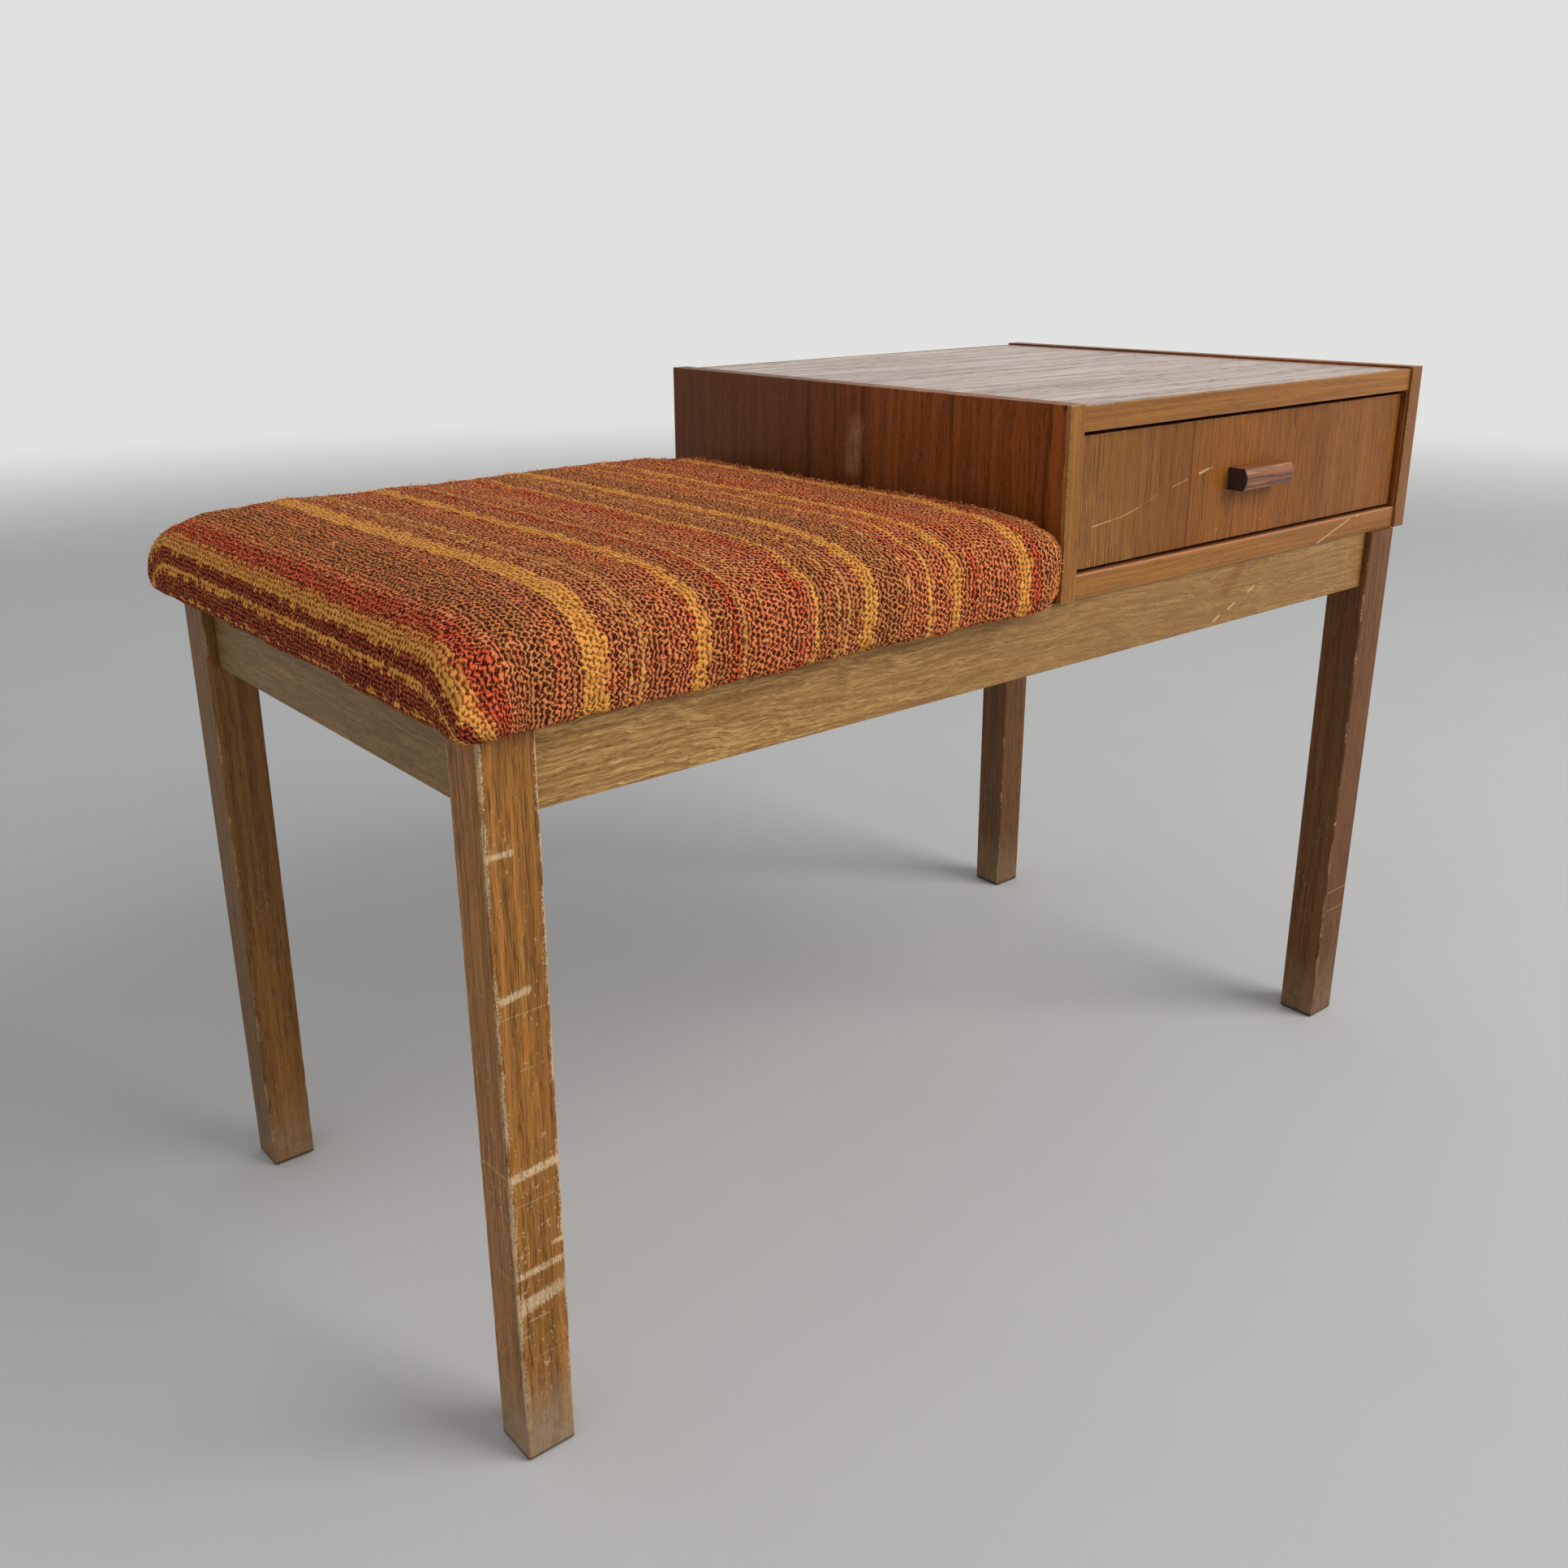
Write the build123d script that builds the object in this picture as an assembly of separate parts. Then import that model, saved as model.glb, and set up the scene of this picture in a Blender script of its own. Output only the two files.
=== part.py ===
from build123d import *
import math
import os

# Telephone bench: an oak stand of four legs and rails carries an upholstered seat pad
# at one end and a veneered cabinet with one drawer at the other.
# Millimetres. +X runs from the seat to the cabinet, -Y is the drawer's side, +Z is up,
# and the floor is z = 0. All pieces are drawn about the middle of the stand and are
# moved at the end so that the origin lies under the middle of the whole bench.

# ---- stand ----
FRAME_LENGTH = 800.0  # over the outer faces of the legs
FRAME_DEPTH = 390.0  # over the outer faces of the legs
FRAME_TOP = 417.0  # floor to the top of legs and rails
LEG_TOP_SIZE = 31.5
LEG_FOOT_SIZE = 29.5  # the two outer faces taper in towards the foot
LEG_ARRIS = 1.5
FOOT_CHAMFER = 1.5
RAIL_HEIGHT = 43.0
RAIL_THICKNESS = 20.0
FRONT_RAIL_SETBACK = 5.5  # behind the outer faces of the legs
END_RAIL_SETBACK = 8.0
MIDDLE_RAIL_THICKNESS = 24.0
RAIL_ARRIS = 0.8
FRAME_DOWEL_DIAMETER = 8.0
FRAME_DOWEL_LENGTH = 28.0
LONG_RAIL_DOWEL_HEIGHTS = (0.175, 0.605)  # shares of the rail's height, so that the
END_RAIL_DOWEL_HEIGHTS = (0.395, 0.825)  # dowels from two sides pass in the leg
DOWEL_GLUE_GAP = 0.05
DOWEL_END_GAP = 1.0

# ---- glue blocks in the corners of the two bays, and their screws ----
BLOCK_SIDE = 62.0
BLOCK_TIP = 6.0  # width of the blunted ends
BLOCK_HEIGHT = 24.0
BLOCK_LEG_GAP = 0.3
UPRIGHT_SCREW_INSET = 19.0  # from both rails
SIDE_SCREW_REACH = 40.0  # along the rail
SIDE_SCREW_WOOD = 12.0  # of the block under the screw's head
UPRIGHT_SCREW_WOOD = 18.0
SCREW_DIAMETER = 4.0
SCREW_HEAD_DIAMETER = 7.6
SCREW_HEAD_HEIGHT = 2.4
SCREW_SLOT = 1.1
SCREW_POINT = 0.4  # radius of the blunt point
SCREW_GAP = 0.2  # round a screw in the piece that it passes through
SCREW_HEAD_GAP = 0.4
PILOT_GAP = 0.05
SIDE_SCREW_BITE = 10.0  # under half the middle rail, so that two screws don't meet in it
SEAT_SCREW_BITE = 8.0
CABINET_SCREW_BITE = 10.0

# ---- seat pad ----
SEAT_PAD_HEIGHT = 61.0  # rail top to the crown
SEAT_BULGE_END = 16.0  # widest part of the pad beyond the legs, at the free end
SEAT_BULGE_SIDE = 15.0  # the same at the front and back
SEAT_LOWER_TUCK = 9.0  # the pad's lower edge lies this far inside its widest part
SEAT_CABINET_GAP = 0.3
SEAT_SIDE_DRAW = 2.5  # the sides pull in between the corners
SEAT_CORNER_RADIUS = 30.0
SEAT_CORNER_GROWTH = 0.25  # of the outline's inset, towards the crown
SEAT_WIDEST_SHARE = 0.38  # height of the widest part, as a share of the pad's height
SEAT_CROWN_REACH = 120.0  # from the widest part in to the flat of the crown
SEAT_SHOULDER = 3.6  # roundness of the shoulder: 2 is an ellipse, more is squarer
SEAT_CABINET_SHARE = 0.5  # the shoulder is this much tighter beside the cabinet
SEAT_LOWER_BANDS = 3
SEAT_UPPER_BANDS = 7
SEAT_BOARD_THICKNESS = 12.0
SEAT_BOARD_ARRIS = 1.0
COVER_THICKNESS = 2.6
COVER_TURN_THICKNESS = 1.4  # pressed flat under the board
COVER_PAST_RAIL = 8.0  # the turned-in cover ends this far inside the rails
FOAM_GAP = 0.3
STAPLE_CROWN = 10.0
STAPLE_THICKNESS = 1.0
STAPLE_LEG = 6.0
STAPLES_PER_SIDE = 5
STAPLE_EDGE = 3.5  # from the cover's inner edge

# ---- cabinet ----
CABINET_LENGTH = 407.0
CABINET_HEIGHT = 121.0
CABINET_FRONT_SETBACK = 1.0  # behind the outer faces of the front legs
CABINET_OVERHANG_BACK = 14.0
CABINET_OVERHANG_END = 15.0
PANEL_THICKNESS = 13.5
BOARD_THICKNESS = 15.7
BOARD_SETBACK = 2.2  # board fronts behind the panels' front edges
TOP_DROP = 1.5  # top board below the panels' upper edges
LIPPING_THICKNESS = 3.0
CABINET_ARRIS = 0.6
BACK_THICKNESS = 4.0
BACK_REBATE_WIDTH = 6.0
CABINET_DOWEL_DIAMETER = 6.0
CABINET_DOWEL_IN_PANEL = 8.0
CABINET_DOWEL_IN_BOARD = 16.0
DOWELS_PER_EDGE = 3
CABINET_DOWEL_INSET = 45.0  # from the ends of the board's edge
NAIL_DIAMETER = 1.6
NAIL_HEAD_DIAMETER = 3.4
NAIL_HEAD_THICKNESS = 0.7
BACK_NAIL_LENGTH = 16.0
BACK_NAILS_PER_EDGE = 5

# ---- drawer ----
DRAWER_RECESS = 4.0  # drawer front behind the board fronts
DRAWER_SIDE_GAP = 2.0
DRAWER_TOP_GAP = 2.8
DRAWER_FLOOR_GAP = 2.0
DRAWER_FRONT_THICKNESS = 16.0
DRAWER_LAP = 8.0  # of the side let into the front
DRAWER_SIDE_THICKNESS = 12.0
DRAWER_SIDE_DROP = 8.0  # sides lower than the front's upper edge
DRAWER_BACK_GAP = 14.0
DRAWER_BACK_THICKNESS = 12.0
DRAWER_BACK_DROP = 5.0
DRAWER_BOTTOM_THICKNESS = 4.0
DRAWER_BOTTOM_RAISE = 7.0
DRAWER_BOTTOM_GROOVE = 5.0
DRAWER_GROOVE_GAP = 0.1
DRAWER_NAIL_LENGTH = 22.0
DRAWER_NAIL_INSET = 7.0  # from the bottom sheet and from the back's upper edge
RUNNER_HEIGHT = 12.0
RUNNER_REACH = 5.5  # into the groove of the drawer's side
RUNNER_PLAY = 0.3  # over, under and beside the runner
RUNNER_LEVEL = 0.55  # runner's middle, as a share of the side's height
RUNNER_FRONT_STOP = 14.0  # from the front's inner face to the end of the groove
RUNNER_SCREW_DIAMETER = 3.0
RUNNER_SCREW_HEAD_DIAMETER = 5.8
RUNNER_SCREW_HEAD_HEIGHT = 1.6
RUNNER_SCREW_BITE = 9.0
RUNNER_SCREWS = 3
RUNNER_SCREW_INSET = 30.0
HANDLE_LENGTH = 56.0
HANDLE_HEIGHT = 15.0
HANDLE_DEPTH = 15.0
HANDLE_NOSE = 2.6  # bulge of the rounded front
HANDLE_ARRIS = 1.0
HANDLE_SCREW_SPACING = 32.0
HANDLE_SCREW_BITE = 10.0

# ---- places worked out from the sizes ----
LEG_OUT_X = FRAME_LENGTH / 2
LEG_OUT_Y = FRAME_DEPTH / 2
LEG_IN_X = LEG_OUT_X - LEG_TOP_SIZE
LEG_IN_Y = LEG_OUT_Y - LEG_TOP_SIZE
LONG_RAIL_OUT = LEG_OUT_Y - FRONT_RAIL_SETBACK
LONG_RAIL_IN = LONG_RAIL_OUT - RAIL_THICKNESS
END_RAIL_OUT = LEG_OUT_X - END_RAIL_SETBACK
END_RAIL_IN = END_RAIL_OUT - RAIL_THICKNESS
RAIL_BOTTOM = FRAME_TOP - RAIL_HEIGHT

CABINET_RIGHT = LEG_OUT_X + CABINET_OVERHANG_END
CABINET_LEFT = CABINET_RIGHT - CABINET_LENGTH
CABINET_FRONT = -LEG_OUT_Y + CABINET_FRONT_SETBACK
CABINET_BACK = LEG_OUT_Y + CABINET_OVERHANG_BACK
CABINET_TOP = FRAME_TOP + CABINET_HEIGHT
INNER_LEFT = CABINET_LEFT + PANEL_THICKNESS
INNER_RIGHT = CABINET_RIGHT - PANEL_THICKNESS
BOARD_FRONT = CABINET_FRONT + BOARD_SETBACK
BOARD_BACK = CABINET_BACK - BACK_THICKNESS
FLOOR_TOP = FRAME_TOP + BOARD_THICKNESS
TOP_TOP = CABINET_TOP - TOP_DROP
TOP_BOTTOM = TOP_TOP - BOARD_THICKNESS
MIDDLE_RAIL_LEFT = CABINET_LEFT - MIDDLE_RAIL_THICKNESS / 2
MIDDLE_RAIL_RIGHT = CABINET_LEFT + MIDDLE_RAIL_THICKNESS / 2

SEAT_LEFT = -LEG_OUT_X - SEAT_BULGE_END
SEAT_RIGHT = CABINET_LEFT - SEAT_CABINET_GAP
SEAT_HALF_DEPTH = LEG_OUT_Y + SEAT_BULGE_SIDE
SEAT_BOARD_BOTTOM = FRAME_TOP + COVER_TURN_THICKNESS
SEAT_BOARD_TOP = SEAT_BOARD_BOTTOM + SEAT_BOARD_THICKNESS
SEAT_BOARD_INSET = SEAT_LOWER_TUCK + COVER_THICKNESS + SEAT_SIDE_DRAW + FOAM_GAP

DRAWER_LEFT = INNER_LEFT + DRAWER_SIDE_GAP
DRAWER_RIGHT = INNER_RIGHT - DRAWER_SIDE_GAP
DRAWER_FACE = BOARD_FRONT + DRAWER_RECESS
DRAWER_FRONT_INSIDE = DRAWER_FACE + DRAWER_FRONT_THICKNESS
DRAWER_LAP_FACE = DRAWER_FRONT_INSIDE - DRAWER_LAP
DRAWER_END = BOARD_BACK - DRAWER_BACK_GAP
DRAWER_LOW = FLOOR_TOP + DRAWER_FLOOR_GAP
DRAWER_HIGH = TOP_BOTTOM - DRAWER_TOP_GAP
SIDE_HIGH = DRAWER_HIGH - DRAWER_SIDE_DROP
DRAWER_BACK_HIGH = SIDE_HIGH - DRAWER_BACK_DROP
BOTTOM_LOW = DRAWER_LOW + DRAWER_BOTTOM_RAISE
BOTTOM_HIGH = BOTTOM_LOW + DRAWER_BOTTOM_THICKNESS
RUNNER_MIDDLE = DRAWER_LOW + (SIDE_HIGH - DRAWER_LOW) * RUNNER_LEVEL
RUNNER_WIDTH = DRAWER_SIDE_GAP + RUNNER_REACH
GROOVE_START = DRAWER_FRONT_INSIDE + RUNNER_FRONT_STOP
RUNNER_START = GROOVE_START + RUNNER_PLAY
HANDLE_X = (CABINET_LEFT + CABINET_RIGHT) / 2
HANDLE_Z = (DRAWER_LOW + DRAWER_HIGH) / 2

CUT = 1.0  # how far a cut runs past the face it opens
ORIGIN_X = (SEAT_LEFT + CABINET_RIGHT) / 2
ORIGIN_Y = (max(SEAT_HALF_DEPTH, CABINET_BACK) - SEAT_HALF_DEPTH) / 2


# ---- shapes that several pieces share ----
def slab(x0, x1, y0, y1, z0, z1):
    """A rectangular solid between two corners, given in any order."""
    middle = Pos((x0 + x1) / 2, (y0 + y1) / 2, (z0 + z1) / 2)
    return middle * Box(abs(x1 - x0), abs(y1 - y0), abs(z1 - z0))


def rod(start, direction, length, diameter):
    """A round rod from a point along a direction."""
    return Solid.make_cylinder(diameter / 2, length, Plane(origin=start, z_dir=direction))


def spread(low, high, count):
    """Evenly spaced places from low to high."""
    return [low + (high - low) * i / (count - 1) for i in range(count)]


def step(point, direction, distance):
    """The point that lies a distance away along a direction."""
    return tuple(p + d * distance for p, d in zip(point, direction))


def eased(solid, edges, radius):
    """The solid with the named edges rounded, as sandpaper leaves them."""
    return fillet(edges, radius) if radius > 0 else solid


def screw(head_seat, direction, length, diameter, head_diameter, head_height):
    """A slotted screw; head_seat is the point under its head."""
    back = tuple(-d for d in direction)
    shank = rod(head_seat, direction, length - diameter, diameter)
    tip_plane = Plane(origin=step(head_seat, direction, length - diameter), z_dir=direction)
    tip = Solid.make_cone(diameter / 2, SCREW_POINT, diameter, tip_plane)
    head = rod(head_seat, back, head_height, head_diameter)
    slot_plane = Plane(origin=step(head_seat, back, head_height), z_dir=direction)
    slot = slot_plane * Box(head_diameter * 2, SCREW_SLOT, head_height)
    return shank + tip + (head - slot)


def screw_hole(head_seat, direction, length, diameter, head_diameter, clear, back_reach):
    """The room that a screw needs: its hole, and a counterbore behind its head."""
    back = tuple(-d for d in direction)
    hole = rod(head_seat, direction, clear, diameter + 2 * SCREW_GAP)
    pilot = rod(head_seat, direction, length + SCREW_GAP, diameter + 2 * PILOT_GAP)
    counterbore = rod(head_seat, back, back_reach, head_diameter + 2 * SCREW_HEAD_GAP)
    return [hole, pilot, counterbore]


def nail(head_face, direction, length):
    """A round nail; head_face is the outer face of its head."""
    head = rod(head_face, direction, NAIL_HEAD_THICKNESS, NAIL_HEAD_DIAMETER)
    return head + rod(head_face, direction, length, NAIL_DIAMETER)


def nail_holes(head_face, direction, length):
    """The room that a nail takes in the pieces it joins."""
    head_room = rod(head_face, direction, NAIL_HEAD_THICKNESS, NAIL_HEAD_DIAMETER + 2 * PILOT_GAP)
    return [head_room, rod(head_face, direction, length + SCREW_GAP, NAIL_DIAMETER + 2 * PILOT_GAP)]


def dowel(middle, direction, reach_back, reach_on, diameter, gap=0.0):
    """A dowel through a joint face, or with a gap its hole."""
    end_room = DOWEL_END_GAP if gap else 0.0
    start = step(middle, direction, -reach_back - end_room)
    return rod(start, direction, reach_back + reach_on + 2 * end_room, diameter + 2 * gap)


# ---- stand ----
def frame_dowel_places():
    """Middle, direction and the two reaches of each dowel in the stand."""
    half = FRAME_DOWEL_LENGTH / 2
    long_y = LONG_RAIL_OUT - RAIL_THICKNESS / 2
    end_x = END_RAIL_OUT - RAIL_THICKNESS / 2
    into_rail = RAIL_THICKNESS / 2
    places = []
    for side in (-1, 1):
        for end in (-1, 1):
            for share in LONG_RAIL_DOWEL_HEIGHTS:
                z = RAIL_BOTTOM + RAIL_HEIGHT * share
                places.append(((end * LEG_IN_X, side * long_y, z), (end, 0, 0), half, half))
            for share in END_RAIL_DOWEL_HEIGHTS:
                z = RAIL_BOTTOM + RAIL_HEIGHT * share
                places.append(((end * end_x, side * LEG_IN_Y, z), (0, side, 0), half, half))
        for share in LONG_RAIL_DOWEL_HEIGHTS:
            z = RAIL_BOTTOM + RAIL_HEIGHT * share
            place = (CABINET_LEFT, side * LONG_RAIL_IN, z)
            places.append((place, (0, side, 0), FRAME_DOWEL_LENGTH - into_rail, into_rail - DOWEL_END_GAP))
    return places


def frame_dowels():
    return [dowel(*place, FRAME_DOWEL_DIAMETER) for place in frame_dowel_places()]


def frame_dowel_holes(keep):
    """Holes of the dowels whose middle the test keeps."""
    chosen = [place for place in frame_dowel_places() if keep(*place[0])]
    return [dowel(*place, FRAME_DOWEL_DIAMETER, DOWEL_GLUE_GAP) for place in chosen]


def leg(end, side):
    """One leg; its inner faces stand upright and its outer faces taper."""

    def outline(z, size, trim):
        x = end * (LEG_IN_X + size / 2)
        y = side * (LEG_IN_Y + size / 2)
        return Pos(x, y, z) * RectangleRounded(size - 2 * trim, size - 2 * trim, LEG_ARRIS)

    foot = outline(0, LEG_FOOT_SIZE, FOOT_CHAMFER)
    above_foot = outline(FOOT_CHAMFER, LEG_FOOT_SIZE, 0)
    body = loft([foot, above_foot, outline(FRAME_TOP, LEG_TOP_SIZE, 0)], ruled=True)
    near = FRAME_DOWEL_LENGTH
    holes = frame_dowel_holes(lambda x, y, z: x * end > LEG_IN_X - near and y * side > LEG_IN_Y - near)
    return body - holes


def long_rail(side):
    """The front or back rail, between the inner faces of the legs."""
    body = slab(-LEG_IN_X, LEG_IN_X, side * LONG_RAIL_OUT, side * LONG_RAIL_IN, RAIL_BOTTOM, FRAME_TOP)
    body = eased(body, body.edges().filter_by(Axis.X), RAIL_ARRIS)
    middle = LONG_RAIL_OUT - RAIL_THICKNESS
    holes = frame_dowel_holes(lambda x, y, z: y * side >= middle - RAIL_ARRIS)
    return body - holes - block_screw_holes(side_rail=side)


def end_rail(end):
    """The rail at the seat's or the cabinet's end."""
    body = slab(end * END_RAIL_OUT, end * END_RAIL_IN, -LEG_IN_Y, LEG_IN_Y, RAIL_BOTTOM, FRAME_TOP)
    body = eased(body, body.edges().filter_by(Axis.Y), RAIL_ARRIS)
    holes = frame_dowel_holes(lambda x, y, z: x * end > END_RAIL_IN and abs(y) <= LEG_IN_Y)
    return body - holes - block_screw_holes(end_rail=end)


def middle_rail():
    """The rail under the joint of seat and cabinet."""
    body = slab(MIDDLE_RAIL_LEFT, MIDDLE_RAIL_RIGHT, -LONG_RAIL_IN, LONG_RAIL_IN, RAIL_BOTTOM, FRAME_TOP)
    body = eased(body, body.edges().filter_by(Axis.Y), RAIL_ARRIS)
    holes = frame_dowel_holes(lambda x, y, z: abs(x - CABINET_LEFT) < MIDDLE_RAIL_THICKNESS)
    return body - holes - block_screw_holes(end_rail=0)


# ---- glue blocks ----
def block_corners():
    """Corner of each block, its directions into the bay, the bay, and its end rail."""
    corners = []
    for side in (-1, 1):
        y = side * LONG_RAIL_IN
        corners.append((-END_RAIL_IN, y, 1, -side, "seat", -1))
        corners.append((MIDDLE_RAIL_LEFT, y, -1, -side, "seat", 0))
        corners.append((MIDDLE_RAIL_RIGHT, y, 1, -side, "cabinet", 0))
        corners.append((END_RAIL_IN, y, -1, -side, "cabinet", 1))
    return corners


def upright_screw(corner):
    """Head seat, direction and length of the screw that goes up through a block."""
    x, y, inward_x, inward_y, bay, rail = corner
    gap = COVER_TURN_THICKNESS if bay == "seat" else 0.0
    bite = SEAT_SCREW_BITE if bay == "seat" else CABINET_SCREW_BITE
    seat = (x + inward_x * UPRIGHT_SCREW_INSET, y + inward_y * UPRIGHT_SCREW_INSET,
            FRAME_TOP - UPRIGHT_SCREW_WOOD)
    return seat, (0, 0, 1), UPRIGHT_SCREW_WOOD + gap + bite


def side_screws(corner):
    """Head seats, directions and lengths of the two screws from a block into its rails."""
    x, y, inward_x, inward_y, bay, rail = corner
    z = FRAME_TOP - BLOCK_HEIGHT / 2
    length = SIDE_SCREW_WOOD + SIDE_SCREW_BITE
    long_seat = (x + inward_x * SIDE_SCREW_REACH, y + inward_y * SIDE_SCREW_WOOD, z)
    end_seat = (x + inward_x * SIDE_SCREW_WOOD, y + inward_y * SIDE_SCREW_REACH, z)
    return (long_seat, (0, -inward_y, 0), length), (end_seat, (-inward_x, 0, 0), length)


def block_screw_holes(side_rail=None, end_rail=None):
    """Pilot holes of the block screws in one long rail, or in one end or middle rail."""
    holes = []
    for corner in block_corners():
        into_long, into_end = side_screws(corner)
        if side_rail is not None and corner[3] == -side_rail:
            holes += wood_screw_hole(*into_long, SIDE_SCREW_WOOD)
        if end_rail is not None and corner[5] == end_rail:
            holes += wood_screw_hole(*into_end, SIDE_SCREW_WOOD)
    return holes


def wood_screw(seat, direction, length):
    return screw(seat, direction, length, SCREW_DIAMETER, SCREW_HEAD_DIAMETER, SCREW_HEAD_HEIGHT)


def wood_screw_hole(seat, direction, length, clear, back_reach=SCREW_HEAD_HEIGHT):
    return screw_hole(seat, direction, length, SCREW_DIAMETER, SCREW_HEAD_DIAMETER, clear, back_reach)


def glue_block(corner):
    """A corner block with a notch for the leg and three screw holes."""
    x, y, inward_x, inward_y, bay, rail = corner
    reach = [(0, 0), (BLOCK_SIDE, 0), (BLOCK_SIDE, BLOCK_TIP), (BLOCK_TIP, BLOCK_SIDE), (0, BLOCK_SIDE)]
    points = [(x + inward_x * u, y + inward_y * v) for u, v in reach]
    outline = make_face(Polyline(*points, close=True))
    body = extrude(Pos(0, 0, FRAME_TOP - BLOCK_HEIGHT) * outline, BLOCK_HEIGHT, dir=(0, 0, 1))
    if rail:
        notch_x = rail * (LEG_IN_X - BLOCK_LEG_GAP)
        notch_y = -inward_y * (LEG_IN_Y - BLOCK_LEG_GAP)
        body -= slab(notch_x, rail * LEG_OUT_X, notch_y, -inward_y * LEG_OUT_Y, 0, FRAME_TOP + CUT)
    seat, direction, length = upright_screw(corner)
    cuts = wood_screw_hole(seat, direction, length, UPRIGHT_SCREW_WOOD, BLOCK_HEIGHT)
    for seat, direction, length in side_screws(corner):
        cuts += wood_screw_hole(seat, direction, length, SIDE_SCREW_WOOD, BLOCK_SIDE / 2)
    return body - cuts


def glue_blocks():
    return [glue_block(corner) for corner in block_corners()]


def block_screws():
    return [wood_screw(*place) for corner in block_corners() for place in side_screws(corner)]


def upright_screws(bay):
    return [wood_screw(*upright_screw(corner)) for corner in block_corners() if corner[4] == bay]


def upright_screw_holes(bay):
    """Clearance up to the rail top, then the pilot hole in the board above."""
    holes = []
    for corner in block_corners():
        if corner[4] == bay:
            seat, direction, length = upright_screw(corner)
            clear = UPRIGHT_SCREW_WOOD + (COVER_TURN_THICKNESS if bay == "seat" else 0.0)
            holes += wood_screw_hole(seat, direction, length, clear)
    return holes


# ---- seat pad ----
def pad_outline(z, inset, cabinet_inset, extra):
    """Rounded rectangle of the pad at one height, with sides that bow in."""
    left, right = SEAT_LEFT + inset + extra, SEAT_RIGHT - cabinet_inset - extra
    half = SEAT_HALF_DEPTH - inset - extra
    radius = SEAT_CORNER_RADIUS + inset * SEAT_CORNER_GROWTH - extra
    bow = SEAT_SIDE_DRAW
    soft = radius * (1 - 0.5 ** 0.5)
    middle = (left + right) / 2
    sides = [
        ((left + radius, -half), (middle, -half + bow), (right - radius, -half)),
        ((right, -half + radius), (right - bow, 0), (right, half - radius)),
        ((right - radius, half), (middle, half - bow), (left + radius, half)),
        ((left, half - radius), (left + bow, 0), (left, -half + radius)),
    ]
    corners = [(right - soft, -half + soft), (right - soft, half - soft),
               (left + soft, half - soft), (left + soft, -half + soft)]
    edges = []
    for i, side in enumerate(sides):
        edges.append(ThreePointArc(*side))
        edges.append(ThreePointArc(side[2], corners[i], sides[(i + 1) % 4][0]))
    return Pos(0, 0, z) * make_face(Wire(edges))


def pad_levels():
    """Heights as shares of the pad's height, each with the outline's inset there."""
    levels = []
    for i in range(SEAT_LOWER_BANDS):
        turn = math.pi / 2 * i / SEAT_LOWER_BANDS
        levels.append((SEAT_WIDEST_SHARE * (1 - math.cos(turn)), SEAT_LOWER_TUCK * (1 - math.sin(turn))))
    for i in range(SEAT_UPPER_BANDS + 1):
        turn = math.pi / 2 * i / SEAT_UPPER_BANDS
        rise = math.sin(turn) ** (2 / SEAT_SHOULDER)
        back = 1 - max(math.cos(turn), 0) ** (2 / SEAT_SHOULDER)
        levels.append((SEAT_WIDEST_SHARE + (1 - SEAT_WIDEST_SHARE) * rise, SEAT_CROWN_REACH * back))
    return levels


def pad_form(bottom, top, extra):
    """The crowned pad between two heights, smaller all round by extra."""
    outlines = []
    for share, inset in pad_levels():
        z = bottom + (top - bottom) * share
        outlines.append(pad_outline(z, inset, inset * SEAT_CABINET_SHARE, extra))
    return loft(outlines, ruled=True)


def seat_board():
    left = SEAT_LEFT + SEAT_BOARD_INSET
    right = SEAT_RIGHT - SEAT_BOARD_INSET + SEAT_LOWER_TUCK * (1 - SEAT_CABINET_SHARE)
    half = SEAT_HALF_DEPTH - SEAT_BOARD_INSET
    body = slab(left, right, -half, half, SEAT_BOARD_BOTTOM, SEAT_BOARD_TOP)
    body = fillet(body.edges().filter_by(Axis.Z), SEAT_CORNER_RADIUS - COVER_THICKNESS)
    body = fillet(body.faces().sort_by(Axis.Z)[-1].edges(), SEAT_BOARD_ARRIS)
    return body - upright_screw_holes("seat")


def seat_foam():
    """Foam block glued on the board, crowned like the cover."""
    inside = COVER_THICKNESS + FOAM_GAP
    form = pad_form(FRAME_TOP, FRAME_TOP + SEAT_PAD_HEIGHT - inside, inside)
    below = slab(SEAT_LEFT, SEAT_RIGHT, -SEAT_HALF_DEPTH, SEAT_HALF_DEPTH, 0, SEAT_BOARD_TOP)
    return form - below


def seat_cover():
    """Woven cover: a shell over foam and board, turned in under the board."""
    outer = pad_form(FRAME_TOP, FRAME_TOP + SEAT_PAD_HEIGHT, 0)
    inner = pad_form(FRAME_TOP, FRAME_TOP + SEAT_PAD_HEIGHT - COVER_THICKNESS, COVER_THICKNESS)
    inner -= slab(SEAT_LEFT, SEAT_RIGHT, -SEAT_HALF_DEPTH, SEAT_HALF_DEPTH, 0, SEAT_BOARD_BOTTOM)
    window_x = (-END_RAIL_IN + COVER_PAST_RAIL, MIDDLE_RAIL_LEFT - COVER_PAST_RAIL)
    window_y = LONG_RAIL_IN - COVER_PAST_RAIL
    window = slab(*window_x, -window_y, window_y, 0, SEAT_BOARD_TOP)
    return outer - inner - window


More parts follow.
